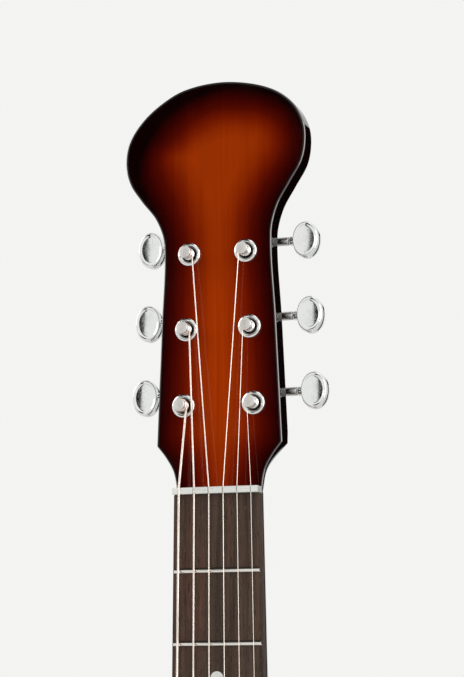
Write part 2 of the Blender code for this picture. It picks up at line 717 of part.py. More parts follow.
def make_neck_plate():
    wide, tall, thick = NECK_PLATE
    face = BODY_BACK + GAP
    low = (-wide / 2, face, NECK_PLATE_Z - tall / 2)
    plate = bevel(box("neck_plate", low, (wide / 2, face + thick, NECK_PLATE_Z + tall / 2), "chrome"), 0.0005)
    for i, (x, z) in enumerate(bolt_places()):
        join(plate, rod(f"bolt_{i}", (x, face + thick + 0.0016, z), (x, BOLT_TIP, z), BOLT_RADIUS, segments=8))


def strap_sites():
    """Each strap button's place on the trim, and the way it points."""
    upper = min(body_outline(), key=lambda point: abs(point[1] - STRAP_UPPER_Z) + (1 if point[0] > 0 else 0))
    middle_y = (BODY_FRONT + BODY_BACK) / 2
    out = TRIM_THICKNESS + 2 * GAP
    return {"end": ((0, middle_y, BODY_BOTTOM - out), (0, 0, -1)),
            "upper": ((upper[0] - out - 0.0004, middle_y, upper[1]), (-1, 0, 0))}


def strap_holes(name):
    holes = []
    for site, (place_, way) in strap_sites().items():
        outside = Vector(place_) + Vector(way) * 0.005
        inside = Vector(place_) - Vector(way) * 0.0140
        holes.append(rod(f"{name}_strap_hole_{site}", outside, inside, 0.0018 + GAP, segments=8))
    return holes


def make_strap_buttons():
    profile = [(0, 0.0115), (0.0045, 0.0115), (0.0062, 0.0100), (0.0058, 0.0085), (0.0035, 0.0065), (0.0035, 0.0040),
               (0.0068, 0.0012), (0.0072, 0), (0.0018, 0), (0.0018, -0.0130), (0, -0.0130)]
    for site, (place_, way) in strap_sites().items():
        turned(f"strap_button_{site}", profile, place_, way, "chrome")


# Pickup, bridge and tailpiece

def make_pickup():
    wall, end, radius = PICKUP_WALL, PICKUP_HALF_LENGTH, PICKUP_RADIUS
    profile = [(0, -end + wall), (radius - wall, -end + wall), (radius - wall, end - wall), (LEAD_HOLE, end - wall),
               (LEAD_HOLE, end), (radius - 0.0018, end), (radius, end - 0.0022), (radius, -end + 0.0022),
               (radius - 0.0018, -end), (0, -end)]
    turned("pickup_tube", profile, (0, PICKUP_Y, PICKUP_Z), (1, 0, 0), "chrome", 14)
    low = (-0.040, PICKUP_Y - 0.0045, PICKUP_Z - 0.0030)
    bevel(box("pickup_coil", low, (0.040, PICKUP_Y + 0.0045, PICKUP_Z + 0.0030), "coil"), 0.0010)


def make_bridge():
    hinge_y, hinge_z = HINGE
    top = [(bridge_top(z) - hinge_y, z - hinge_z) for z in bridge_stations()]
    barrel = [(HINGE_BARREL_RADIUS * math.cos(a), HINGE_BARREL_RADIUS * math.sin(a))
              for a in (math.radians(d) for d in (-160, -125, -90, -55, -20, 15, 40))]
    underside = [(BRIDGE_UNDERSIDE - hinge_y + 0.0022, BRIDGE_Z[0] + 0.0065 - hinge_z),
                 (BRIDGE_UNDERSIDE - hinge_y, BRIDGE_Z[0] + 0.0105 - hinge_z),
                 (BRIDGE_UNDERSIDE - hinge_y, BRIDGE_Z[1] - hinge_z)]
    plate = prism("bridge_plate", top + barrel + underside, -BRIDGE_HALF_WIDTH, BRIDGE_HALF_WIDTH, "X", "rosewood")
    plate.location = (0, hinge_y, hinge_z)
    pin_end = BRIDGE_HALF_WIDTH + LUG_WIDTH
    cut(plate, rod("barrel_bore", (-pin_end, hinge_y, hinge_z), (pin_end, hinge_y, hinge_z), HINGE_PIN_RADIUS + 0.0005))
    screw_x, screw_z, screw_radius, screw_end = TILT_SCREW
    for side in (-1, 1):
        start = (side * screw_x, BRIDGE_CREST[1] + 0.002, screw_z)
        join(plate, rod(f"tilt_screw_{side}", start, (side * screw_x, screw_end, screw_z), screw_radius, segments=8))

    back = BODY_FRONT - GAP
    low, high = BASE_Z
    width = BRIDGE_HALF_WIDTH + GAP + LUG_WIDTH
    base = box("bridge_base", (-width, back - BASE_THICKNESS, low), (width, back, high), "aluminium")
    cut(base, *tilt_screw_holes("base_tilt", 0.0026, 0.012))
    for side in (-1, 1):
        inner, outer = sorted((side * (BRIDGE_HALF_WIDTH + GAP), side * width))
        lug_low = (inner, hinge_y - 0.0028, hinge_z - 0.0030)
        join(base, box(f"hinge_lug_{side}", lug_low, (outer, back - 0.0005, hinge_z + 0.0030)))
    join(base, rod("hinge_pin", (-width + 0.001, hinge_y, hinge_z), (width - 0.001, hinge_y, hinge_z), HINGE_PIN_RADIUS))


def make_tailpiece():
    notches = []
    for i, gauge in enumerate(GAUGES):
        notches.append((string_x(i, TAIL_SPREAD), gauge / 2 + 2 * GAP, TAIL_STRING_Y + gauge / 2 + GAP))
    outline = comb_outline(TAILPIECE_HALF_WIDTH, lambda x: TAILPIECE_FRONT, BODY_FRONT - GAP, notches)
    prism("tailpiece", outline, *TAILPIECE_Z, "Z", "chrome")


# Controls

def make_controls():
    for control, (x, z) in CONTROLS.items():
        front = FRAME_FRONT
        rise = front - (BODY_FRONT - GAP - PICKGUARD_THICKNESS)
        bore = SHAFT_RADIUS + GAP
        nut_low, nut_high = rise + GAP, rise + 0.0022
        pot = [(0, -0.0070), (bore, -0.0070), (bore, nut_high + 0.0012), (BUSH_RADIUS, nut_high + 0.0012),
               (BUSH_RADIUS, nut_high), (0.0068, nut_high), (0.0068, nut_low), (BUSH_RADIUS, nut_low),
               (BUSH_RADIUS, 0), (POT_RADIUS, 0), (POT_RADIUS, -POT_DEPTH), (0, -POT_DEPTH)]
        turned(f"{control}_pot", pot, (x, front, z), (0, -1, 0), "steel")
        knob_low = nut_high + 0.0018
        ceiling = knob_low + 0.0090
        shaft = [(0, ceiling - GAP), (SHAFT_RADIUS, ceiling - GAP), (SHAFT_RADIUS, -0.0066), (0, -0.0066)]
        turned(f"{control}_shaft", shaft, (x, front, z), (0, -1, 0), "brass")
        high = knob_low + KNOB_HEIGHT
        knob = [(0, high), (KNOB_RADIUS - 0.0022, high), (KNOB_RADIUS - 0.0014, high - 0.0008),
                (KNOB_RADIUS - 0.0010, knob_low + 0.0022), (KNOB_RADIUS, knob_low + 0.0016), (KNOB_RADIUS, knob_low),
                (bore, knob_low), (bore, ceiling), (0, ceiling)]
        turned(f"{control}_knob", knob, (x, front, z), (0, -1, 0), "black_plastic", 14)


def make_jack():
    x, z = JACK
    face = BODY_FRONT - GAP - PICKGUARD_THICKNESS
    inside = face - FRAME_FRONT
    nut_low, nut_high = GAP, 0.0024
    profile = [(BUSH_RADIUS, 0.0036), (BUSH_RADIUS, nut_high), (0.0070, nut_high), (0.0070, nut_low), (BUSH_RADIUS, nut_low),
               (BUSH_RADIUS, inside), (0.0078, inside), (0.0078, inside - 0.0020), (BUSH_RADIUS, inside - 0.0020),
               (BUSH_RADIUS, -JACK_DEPTH), (JACK_BORE, -JACK_DEPTH), (JACK_BORE, 0.0036)]
    turned("output_jack", profile, (x, face, z), (0, -1, 0), "chrome")


def make_wiring():
    depth = 0.0225
    volume_x, volume_z = CONTROLS["volume"]
    tone_x, tone_z = CONTROLS["tone"]
    jack_x, jack_z = JACK
    knots = [(0.0515, 0.0205, PICKUP_Z), (0.060, depth, PICKUP_Z - 0.010), (volume_x - 0.010, depth, volume_z + 0.012),
             (volume_x, depth, volume_z), (tone_x - 0.004, depth, tone_z + 0.010), (tone_x, depth, tone_z - 0.006),
             (jack_x + 0.016, depth + 0.001, jack_z + 0.012), (jack_x + 0.0090, depth + 0.002, jack_z)]
    wire("wiring", smooth(knots, 3), 0.0012, "cable")


def main():
    for obj in list(bpy.data.objects):
        bpy.data.objects.remove(obj)
    new_collection(NAME)
    new_collection("tools")
    for name, look in MATERIALS.items():
        new_material(name, *look)
    make_neck()
    make_reinforcing_bar()
    make_fretboard()
    make_nut()
    make_strings()
    make_bushings()
    make_posts()
    make_worm_shafts()
    make_buttons()
    make_tuner_plates()
    make_body()
    make_neck_plate()
    make_strap_buttons()
    make_pickup()
    make_bridge()
    make_tailpiece()
    make_controls()
    make_jack()
    make_wiring()


main()
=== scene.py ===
"""Electric sitar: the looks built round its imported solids, laid out as an add-on with an operator for each piece.

Sizes are in metres in the solids' own frame: X to the right as seen from the front, Y to the back and Z up to the
headstock's tip, with the origin at the middle of the nut's edge on the fretboard's surface.
"""

import math

import bmesh
import bpy
import numpy as np
from bpy.props import FloatProperty, FloatVectorProperty, PointerProperty
from mathutils import Matrix, Vector
from mathutils.geometry import interpolate_bezier


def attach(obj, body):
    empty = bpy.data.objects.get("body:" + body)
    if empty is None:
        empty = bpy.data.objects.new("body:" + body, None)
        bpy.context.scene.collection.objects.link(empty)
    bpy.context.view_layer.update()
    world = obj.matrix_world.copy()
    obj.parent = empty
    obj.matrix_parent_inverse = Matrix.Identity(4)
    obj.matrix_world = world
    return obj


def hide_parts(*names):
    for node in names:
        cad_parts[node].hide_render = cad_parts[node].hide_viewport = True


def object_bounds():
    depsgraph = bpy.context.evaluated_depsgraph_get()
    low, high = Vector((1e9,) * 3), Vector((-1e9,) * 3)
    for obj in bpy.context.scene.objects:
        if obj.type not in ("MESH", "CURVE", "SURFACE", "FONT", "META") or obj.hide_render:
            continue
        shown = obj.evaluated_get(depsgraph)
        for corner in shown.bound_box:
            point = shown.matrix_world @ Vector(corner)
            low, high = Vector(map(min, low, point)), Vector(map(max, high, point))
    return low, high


bl_info = {
    "name": "Electric Sitar",
    "version": (1, 0, 0),
    "blender": (4, 5, 0),
    "location": "3D View > Sidebar > Sitar",
    "description": "Models an electric sitar's pieces and finishes round its packed solids",
    "category": "Add Mesh",
}

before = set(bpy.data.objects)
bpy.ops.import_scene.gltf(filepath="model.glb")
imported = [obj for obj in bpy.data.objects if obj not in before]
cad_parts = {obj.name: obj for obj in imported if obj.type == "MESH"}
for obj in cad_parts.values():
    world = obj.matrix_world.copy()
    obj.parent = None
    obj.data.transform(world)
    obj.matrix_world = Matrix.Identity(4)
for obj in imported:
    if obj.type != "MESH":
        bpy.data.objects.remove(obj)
SOLIDS_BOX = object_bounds()

ROOT = "instrument"
GAP = 0.0003                        # between solids that touch
SEAT = 0.00002                      # between a piece and what it stands on
FRONT, BACK = (0, -1, 0), (0, 1, 0)
RIGHT, LEFT, DOWN = (1, 0, 0), (-1, 0, 0), (0, 0, -1)

# Strings, from the thickest at -X to the thinnest at +X
SCALE_LENGTH = 0.635
GAUGES = (0.00117, 0.00091, 0.00066, 0.00043, 0.00033, 0.00025)
WOUND_STRINGS = 3
NUT_SPREAD = 0.0352
BRIDGE_SPREAD = 0.050

# Fretboard, frets and nut
FRET_COUNT = 21
DOTTED_FRETS = (3, 5, 7, 9, 12, 15, 17, 19, 21)
DOT_SPREAD = 0.0115                 # of the octave's two dots from the middle
NUT_WIDTH = 0.0421
END_WIDTH = 0.0552
FRETBOARD_END = -0.455
CROWN_RADIUS = 0.355
FRET_WIDTH = 0.0024
FRET_HEIGHT = 0.0010
NUT_THICKNESS = 0.0032
NUT_RISE = 0.0014

# Neck and headstock
NECK_FRONT = 0.0051
NECK_DEPTHS = ((-0.455, 0.0246), (-0.3795, 0.0246), (-0.374, 0.0232), (-0.366, 0.0202), (-0.356, 0.0190),
               (-0.300, 0.0180), (-0.060, 0.0160), (0.000, 0.0153), (0.040, 0.0140))
HEAD_THICKNESS = 0.0126
HEAD_BACK = NECK_FRONT + HEAD_THICKNESS
HEAD_TIP = (0, 0.2008)
HEAD_CORNER = (0.0311, 0.0240)
HEAD_RIGHT = (HEAD_TIP, (0.0158, 0.1991), (0.0295, 0.1943), (0.0385, 0.1870), (0.0434, 0.1775),
              (0.0443, 0.1685), (0.0423, 0.1585), (0.0362, 0.1482), (0.0298, 0.1370), (0.0268, 0.1235),
              (0.0286, 0.0840), HEAD_CORNER)
HEAD_LEFT = (HEAD_TIP, (0.0168, 0.1984), (0.0282, 0.1928), (0.0385, 0.1844), (0.0452, 0.1745),
             (0.0471, 0.1638), (0.0449, 0.1535), (0.0392, 0.1446), (0.0312, 0.1340), (0.0273, 0.1215),
             (0.0287, 0.0820), HEAD_CORNER)
HEAD_SHOULDER = (HEAD_CORNER, (0.0266, 0.0182), (0.0228, 0.0113), (0.0208, 0.0010))

# Tuners: each one's number, side and row
TUNERS = (("6", -1, 2), ("5", -1, 1), ("4", -1, 0), ("3", 1, 0), ("2", 1, 1), ("1", 1, 2))
FIRST_POST = (0.0142, 0.1161)
POST_STEP = (0.0016, -0.0367)
POST_HEIGHT = 0.0080
POST_RADIUS = 0.0029
WAIST_RADIUS = 0.0021
WINDING_HEIGHT = 0.0040
BUSHING_RADIUS = 0.0057
BARREL_RADIUS = 0.0041
BARREL_END = -0.010
GEAR_TEETH = 14
GEAR_RADIUS = 0.0049
GEAR_HALF_WIDTH = 0.0013
WORM_RADIUS = 0.0021
WORM_TURNS = 3
THREAD_RADIUS = 0.00048
TOOTH_DEPTH = 0.0005
WORM_OFFSET = GEAR_RADIUS + WORM_RADIUS
WORM_LEAD = math.tau * GEAR_RADIUS / GEAR_TEETH
SHAFT_Y = HEAD_BACK + 0.0049
COLLAR_RADIUS = 0.0021
STEM_RADIUS = 0.0013
PLATE_THICKNESS = 0.0010
PLATE_CORNER = 0.0028
COVER_HALF_WIDTH = 0.0075
COVER_WALL = 0.0008
COVER_Z = (-0.0071, 0.0114)
COVER_BACK = SHAFT_Y + 0.0055
PLATE_Z = (-0.0135, 0.0165)
BUTTON_REACH = 0.0252

# Body
BODY_FRONT = 0.008
BODY_BACK = 0.053
SHEET = 0.0032
TRIM_THICKNESS = 0.0008
SPRAY_GRID = 0.007                  # between the points that carry the burst's depth
BODY_HALF = ((0, -0.372), (0.055, -0.378), (0.090, -0.403), (0.099, -0.445), (0.096, -0.495), (0.110, -0.545),
             (0.145, -0.592), (0.165, -0.648), (0.152, -0.708), (0.110, -0.753), (0.055, -0.773), (0, -0.778))
PICKGUARD = ((0.036, -0.487), (0.060, -0.486), (0.084, -0.506), (0.099, -0.556), (0.133, -0.604),
             (0.149, -0.652), (0.136, -0.702), (0.100, -0.735), (0.066, -0.724), (0.055, -0.665),
             (0.055, -0.560), (0.038, -0.512))
PICKGUARD_THICKNESS = 0.0020
GUARD_FACE = BODY_FRONT - GAP - PICKGUARD_THICKNESS
GUARD_SCREWS = 9
BOLT_SPACING = (0.038, 0.042)
NECK_PLATE = (0.051, 0.056, 0.0016)
NECK_PLATE_Z = -0.420
PICKUP_Z = -0.545
PICKUP_RADIUS = 0.0075
PICKUP_HALF_LENGTH = 0.0445
PICKUP_CAP = 0.016
PICKUP_Y = 0.0100
PICKUP_SLOT = (0.096, 0.018)
BRIDGE_HALF_WIDTH = 0.038
BRIDGE_CREST = (-0.640, -0.0043)
BRIDGE_Z = (-0.662, -0.628)
BRIDGE_FALL = 2.5
BRIDGE_UNDERSIDE = 0.0004
HINGE = (0.0025, -0.664)
HINGE_PIN_RADIUS = 0.0014
HINGE_BARREL_RADIUS = 0.0028
BASE_THICKNESS = 0.0020
BASE_Z = (-0.672, -0.622)
LUG_WIDTH = 0.0030
TILT_SCREW = (0.033, -0.632, 0.0015, 0.0190)
TAILPIECE_Z = (-0.702, -0.690)
TAILPIECE_HALF_WIDTH = 0.033
TAILPIECE_FRONT = -0.0030
TAIL_SCREW_X = 0.0293
TAIL_STRING_Y = 0.0005
CONTROLS = {"volume": (0.088, -0.604), "tone": (0.106, -0.652)}
BUSH_RADIUS = 0.0047
KNOB_RADIUS = 0.0115
KNOB_HEIGHT = 0.0135
KNOB_BORE = (0.0034, 0.0090)
KNOB_RIBS = 30
KNOB_LOW = GUARD_FACE - 0.0045
JACK = (0.088, -0.700)
JACK_BORE = 0.00325
JACK_END = -0.0280
JACK_FLANGE = 0.0078
JACK_NUT_RADIUS = 0.0069
STRAP_END_Z = -0.778
STRAP_UPPER = (-0.1008, -0.4450)

# Camera, with its axes to the right, up and back
LENS = 106.53
CAMERA = (0.2912, -0.8909, -0.0805)
CAMERA_AXES = ((0.95279, 0.30356, -0.00713), (0.05594, -0.15241, 0.98673), (0.29845, -0.94054, -0.16220))
HEAD_MIDDLE = (0, 0, 0.05)          # what the lamps and cards face


# Tools for the bench

def deselect():
    if bpy.context.object and bpy.context.object.mode != "OBJECT":
        bpy.ops.object.mode_set(mode="OBJECT")
    bpy.ops.object.select_all(action="DESELECT")


def pick(*objects):
    deselect()
    for obj in objects:
        obj.select_set(True)
    bpy.context.view_layer.objects.active = objects[0]


def edit(obj):
    """Opens a piece in edit mode with all of it selected."""
    pick(obj)
    bpy.ops.object.mode_set(mode="EDIT")
    bpy.ops.mesh.select_all(action="SELECT")


def closed(obj, reach=1e-6):
    """Welds what lies together in a piece and turns every face outwards."""
    edit(obj)
    bpy.ops.mesh.remove_doubles(threshold=reach)
    bpy.ops.mesh.normals_make_consistent(inside=False)
    bpy.ops.object.mode_set(mode="OBJECT")
    return obj


def linked(name, data):
    """A new object for a mesh, curve, lamp or camera."""
    obj = bpy.data.objects.new(name, data)
    bpy.context.scene.collection.objects.link(obj)
    return obj


def new_piece(name, points, edges=(), faces=()):
    mesh = bpy.data.meshes.new(name)
    mesh.from_pydata([tuple(point) for point in points], list(edges), list(faces))
    return linked(name, mesh)


def facing(axis):
    """The turn that points a piece's Z along an axis."""
    return Vector(axis).to_track_quat("Z", "Y").to_matrix().to_4x4()


def set_down(obj, place=(0, 0, 0), axis=(0, 0, 1)):
    """Turns a piece made upright at the origin to an axis and moves it to its place, all in its mesh."""
    obj.data.transform(Matrix.Translation(place) @ facing(axis))
    return obj


def rounded(corners, steps=4, loop=False):
    """A profile's points, with each corner that gives a third number rounded to about that radius.

    The ends of a profile stay sharp unless it is a loop.
    """
    points = []
    for i, corner in enumerate(corners):
        here = Vector(corner[:2])
        if len(corner) == 2 or not loop and i in (0, len(corners) - 1):
            points.append(tuple(here))
            continue
        before = Vector(corners[i - 1][:2]) - here
        after = Vector(corners[(i + 1) % len(corners)][:2]) - here
        reach = corner[2] / max(math.tan(before.angle(after) / 2), 0.05)
        reach = min(reach, before.length * 0.48, after.length * 0.48)
        start, end = here + before.normalized() * reach, here + after.normalized() * reach
        for step in range(steps + 1):
            t = step / steps
            points.append(tuple(start * (1 - t) ** 2 + here * 2 * t * (1 - t) + end * t ** 2))
    return points


def spun(name, profile, place=(0, 0, 0), axis=(0, 0, 1), steps=40, corner_steps=4):
    """A piece turned on a lathe: a rounded profile of (radius, height) spun round an axis through its place.

    A profile with both its ends off the axis is closed to a ring.
    """
    ring = profile[0][0] > 1e-9 and profile[-1][0] > 1e-9
    profile = rounded(profile, corner_steps, ring)
    edges = [(i, i + 1) for i in range(len(profile) - 1)] + [(len(profile) - 1, 0)] * ring
    obj = new_piece(name, [(radius, 0, height) for radius, height in profile], edges)
    edit(obj)
    bpy.ops.mesh.spin(steps=steps, angle=math.tau, center=(0, 0, 0), axis=(0, 0, 1))
    return set_down(closed(obj), place, axis)


def rod(name, radius, start, length, axis, steps=28):
    """A plain rod from its start, for cutting round holes."""
    return spun(name, [(0, 0), (radius, 0), (radius, length), (0, length)], start, axis, steps)


def lofted(name, rings):
    """A skin over rings of equal length, capped at both ends."""
    count = len(rings[0])
    points = [point for ring in rings for point in ring]
    faces = []
    for here in range(0, len(points) - count, count):
        for i in range(count):
            j = (i + 1) % count
            faces.append((here + i, here + j, here + count + j, here + count + i))
    faces += [tuple(reversed(range(count))), tuple(range(len(points) - count, len(points)))]
    return closed(new_piece(name, points, (), faces))


def smooth_curve(knots, steps, before=None, after=None):
    """Points along a smooth curve through the knots. before and after are its neighbours past the two ends."""
    knots = [Vector(knot) for knot in knots]
    first = Vector(before) if before else 2 * knots[0] - knots[1]
    last = Vector(after) if after else 2 * knots[-1] - knots[-2]
    row = [first, *knots, last]
    points = []
    for a, b, c, d in zip(row, row[1:], row[2:], row[3:]):
        reach = (c - b).length / 3
        handles = b + (c - a).normalized() * reach, c - (d - b).normalized() * reach
        points += interpolate_bezier(b, *handles, c, steps)[:-1]
    return [tuple(point) for point in (*points, knots[-1])]


def inset(outline, distance):
    """A closed clockwise outline moved inwards, or outwards where the distance is negative."""
    points = [Vector(point) for point in outline]
    moved = []
    for before, here, after in zip([points[-1], *points], points, [*points[1:], points[0]]):
        along = (after - before).normalized()
        moved.append(tuple(here + Vector((along.y, -along.x)) * distance))
    return moved


def circle(centre, radius, count=32, start=0.0):
    angles = [math.tau * i / count + start for i in range(count)]
    return [(centre[0] + radius * math.sin(angle), centre[1] + radius * math.cos(angle)) for angle in angles]


def rectangle(low, high, radius):
    """A rectangle's outline, clockwise, with rounded corners."""
    (x0, z0), (x1, z1) = low, high
    corners = [(x1, z1, radius), (x1, z0, radius), (x0, z0, radius), (x0, z1, radius)]
    return rounded([((x0 + x1) / 2, z1), *corners], 5, loop=True)


def clockwise(outline):
    area = sum(x0 * z1 - x1 * z0 for (x0, z0), (x1, z1) in zip(outline, [*outline[1:], outline[0]]))
    return area < 0


def from_curve(name, curve, lines, cyclic):
    """The mesh of a curve that runs through the points of each line."""
    for line in lines:
        spline = curve.splines.new("POLY")
        spline.points.add(len(line) - 1)
        spline.use_cyclic_u = cyclic
        for point, place in zip(spline.points, line):
            point.co = (*place, 1)
    obj = linked(name, curve)
    pick(obj)
    bpy.ops.object.convert(target="MESH")
    return obj


def plate(name, outline, low, high, edge=0.0003, holes=(), axis="Y", steps=2):
    """A flat piece cut to an outline, with holes and softened edges, from low to high along an axis."""
    curve = bpy.data.curves.new(name, "CURVE")
    curve.dimensions, curve.fill_mode = "2D", "BOTH"
    curve.extrude = (high - low) / 2 - edge
    curve.bevel_depth, curve.bevel_resolution = edge, steps
    curve.offset = -edge
    lines = []
    for i, loop in enumerate((outline, *holes)):
        loop = list(loop) if clockwise(loop) == bool(i) else list(reversed(loop))
        lines.append([(u, v, 0) for u, v in loop])
    obj = from_curve(name, curve, lines, True)
    turns = {"X": ((0, 0, 1), (1, 0, 0), (0, 1, 0)), "Y": ((1, 0, 0), (0, 0, -1), (0, 1, 0)),
             "Z": ((1, 0, 0), (0, 1, 0), (0, 0, 1))}
    shift = [(low + high) / 2 if way == axis else 0 for way in "XYZ"]
    obj.data.transform(Matrix.Translation(shift) @ Matrix(turns[axis]).to_4x4())
    return closed(obj)


def tube(name, route, radius, sides=10):
    """A round wire along its route's points."""
    curve = bpy.data.curves.new(name, "CURVE")
    curve.dimensions = "3D"
    curve.bevel_depth, curve.bevel_resolution = radius, sides // 2 - 2
    curve.use_fill_caps = True
    return closed(from_curve(name, curve, [route], False), 1e-7)


def block(name, low, high, edge, steps=3):
    """A box between two corners with rounded edges."""
    low, high = Vector(low), Vector(high)
    deselect()
    bpy.ops.mesh.primitive_cube_add(size=1, location=(low + high) / 2, scale=high - low)
    obj = bpy.context.object
    obj.name = obj.data.name = name
    bpy.ops.object.transform_apply(location=True, rotation=True, scale=True)
    edit(obj)
    bpy.ops.mesh.bevel(offset=edge, segments=steps, affect="EDGES")
    return closed(obj)


def apply_modifiers(obj):
    pick(obj)
    for modifier in list(obj.modifiers):
        bpy.ops.object.modifier_apply(modifier=modifier.name)


def cut(obj, *tools):
    """Takes the tools' shapes out of a piece and throws the tools away."""
    for tool in tools:
        modifier = obj.modifiers.new(tool.name, "BOOLEAN")
        modifier.operation, modifier.solver, modifier.object = "DIFFERENCE", "EXACT", tool
    apply_modifiers(obj)
    for tool in tools:
        bpy.data.objects.remove(tool)
    return obj


def joined(name, *objects):
    pick(*objects)
    bpy.ops.object.join()
    obj = bpy.context.object
    obj.name = obj.data.name = name
    return obj


def finished(obj, finish, node=None, body=ROOT, angle=32, flat_faces=False):
    """Shades a piece, gives it its finish, and lets it ride on its body in place of a solid's node."""
    pick(obj)
    bpy.ops.object.shade_smooth_by_angle(angle=math.radians(angle))
    if flat_faces:
        modifier = obj.modifiers.new("flat faces", "WEIGHTED_NORMAL")
        modifier.keep_sharp = True
        apply_modifiers(obj)
    obj.data.materials.clear()
    obj.data.materials.append(finish_named(finish))
    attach(obj, body)
    if node:
        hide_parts(node)
    deselect()
    return obj


def set_value(obj, name, values):
    """Stores one number for each of a mesh's points."""
    attribute = obj.data.attributes.new(name, "FLOAT", "POINT")
    attribute.data.foreach_set("value", np.asarray(values, np.float32))


def points_of(obj):
    co = np.zeros(len(obj.data.vertices) * 3, np.float32)
    obj.data.vertices.foreach_get("co", co)
    return co.reshape(-1, 3).astype(float)


def distance_to(outline, places):
    """How far each (x, z) place is from a closed outline."""
    start = np.array(outline, float)
    along = np.roll(start, -1, 0) - start
    nearest = np.full(len(places), np.inf)
    for a, d in zip(start, along):
        t = np.clip(((places - a) @ d) / max(d @ d, 1e-15), 0, 1)
        nearest = np.minimum(nearest, np.hypot(*(places - a - t[:, None] * d).T))
    return nearest


def ease(low, high, value):
    t = np.clip((value - low) / (high - low), 0, 1)
    return t * t * (3 - 2 * t)


# Finishes

class Value:
    """A number or colour that changes over a surface. Sums on it add Math nodes to its finish."""

    def __init__(self, finish, socket):
        self.finish, self.socket = finish, socket

    def math(self, operation, *others):
        return self.finish.sum(operation, self, *others)

    def __add__(self, other):
        return self.math("ADD", other)

    def __sub__(self, other):
        return self.math("SUBTRACT", other)

    def __rsub__(self, other):
        return self.finish.sum("SUBTRACT", other, self)

    def __mul__(self, other):
        return self.math("MULTIPLY", other)

    def __truediv__(self, other):
        return self.math("DIVIDE", other)

    __radd__, __rmul__ = __add__, __mul__


class Finish:
    """A material under construction."""

    def __init__(self, name, **constants):
        self.material = bpy.data.materials.new(name)
        self.material.use_nodes = True
        self.tree = self.material.node_tree
        self.shader = self.tree.nodes["Principled BSDF"]
        for key, value in constants.items():
            self.shader.inputs[key.replace("_", " ")].default_value = value
        self.where = self.node("ShaderNodeTexCoord", out="Object")

    def node(self, kind, sockets=None, out=0, stops=(), **settings):
        """Adds a node: its settings and a ramp's stops first, then the values or links of its sockets."""
        node = self.tree.nodes.new(kind)
        for key, value in settings.items():
            setattr(node, key, value)
        if stops:
            elements = node.color_ramp.elements
            elements.remove(elements[-1])
            for i, (stop, colour) in enumerate(stops):
                element = elements.new(stop) if i else elements[0]
                element.position, element.color = stop, (*colour, 1)
        for key, value in (sockets or {}).items():
            socket = node.inputs[key]
            if isinstance(value, Value):
                self.tree.links.new(value.socket, socket)
            elif socket.type == "RGBA" and len(value) == 3:
                socket.default_value = (*value, 1)
            else:
                socket.default_value = value
        return Value(self, node.outputs[out])

    def sum(self, operation, *values):
        return self.node("ShaderNodeMath", dict(enumerate(values)), operation=operation)

    def vector(self, operation, *values, out=0):
        return self.node("ShaderNodeVectorMath", dict(enumerate(values)), out, operation=operation)

    def combined(self, x, y, z):
        return self.node("ShaderNodeCombineXYZ", {0: x, 1: y, 2: z})

    def axis(self, name):
        return self.node("ShaderNodeSeparateXYZ", {0: self.where}, name)

    def stored(self, name):
        """A number that is stored on the piece's points."""
        return self.node("ShaderNodeAttribute", out="Fac", attribute_name=name)

    def texture(self, kind, scale, turn=(0, 0, 0), shift=(0, 0, 0), sockets=None, **settings):
        """A pattern whose scale is given in spots per metre, along each axis or the same all ways."""
        scale = scale if isinstance(scale, tuple) else (scale,) * 3
        where = self.node("ShaderNodeMapping", {"Vector": self.where, "Scale": scale, "Rotation": turn,
                                                "Location": shift})
        return self.node(kind, {"Vector": where, "Scale": 1.0, **(sockets or {})}, **settings)

    def noise(self, scale, detail=3.0, roughness=0.55, distortion=0.0, **place):
        return self.texture("ShaderNodeTexNoise", scale, **place, sockets={
            "Detail": detail, "Roughness": roughness, "Distortion": distortion})

    def cells(self, scale, feature="F1"):
        return self.texture("ShaderNodeTexVoronoi", scale, feature=feature)

    def fit(self, value, low, high, to_low=0.0, to_high=1.0):
        """A value's span from low to high, eased onto another span and held there beyond it."""
        return self.node("ShaderNodeMapRange", {
            "Value": value, "From Min": low, "From Max": high, "To Min": to_low, "To Max": to_high},
            interpolation_type="SMOOTHSTEP")

    def ramp(self, value, *stops):
        return self.node("ShaderNodeValToRGB", {0: value}, stops=stops)

    def mix(self, share, first, second, how="MIX"):
        return self.node("ShaderNodeMix", {0: share, 6: first, 7: second}, 2, data_type="RGBA", blend_type=how,
                         clamp_factor=True)

    def shaded(self, colour, amount):
        """A colour made darker or lighter by a varying amount round 1."""
        return self.vector("MULTIPLY", colour, self.combined(amount, amount, amount))

    def bump(self, height, depth, strength):
        """A surface's tilt from a height of 0 to 1 that stands for so many metres."""
        return self.node("ShaderNodeBump", {"Height": height, "Distance": depth, "Strength": strength})

    def done(self, colour, roughness=None, normal=None, coat=None):
        sockets = {"Base Color": colour, "Roughness": roughness, "Normal": normal, "Coat Weight": coat}
        for key, value in sockets.items():
            if value:
                self.tree.links.new(value.socket, self.shader.inputs[key])
        return self.material


def settings():
    return bpy.context.scene.sitar


# The burst between its edge and its amber: the share of the spray's width, and the colour there
BURST = ((0.14, (0.034, 0.0010, 0.0004)), (0.29, (0.080, 0.0032, 0.0004)), (0.44, (0.165, 0.0092, 0.0004)))
AMBER_SHARE, MIDDLE_SHARE = 0.60, 0.78
GLOW_Z = (0.080, 0.130)


def spray(finish):
    """The sunburst's colour from how deep inside the sprayed edge a point lies."""
    look = settings().finish
    cloud = finish.noise(70, 2, 0.5)
    share = (finish.stored("spray_depth") + (cloud - 0.5) * 0.0016) / look.spray_width
    amber = Vector(BURST[-1][1]).lerp(Vector(look.middle_colour), 0.58)
    colour = finish.ramp(share, (0.0, look.edge_colour), *BURST, (AMBER_SHARE, amber),
                         (MIDDLE_SHARE, look.middle_colour))
    return finish.shaded(colour, finish.fit(finish.axis("Z"), *GLOW_Z, look.low_glow, 1.0))


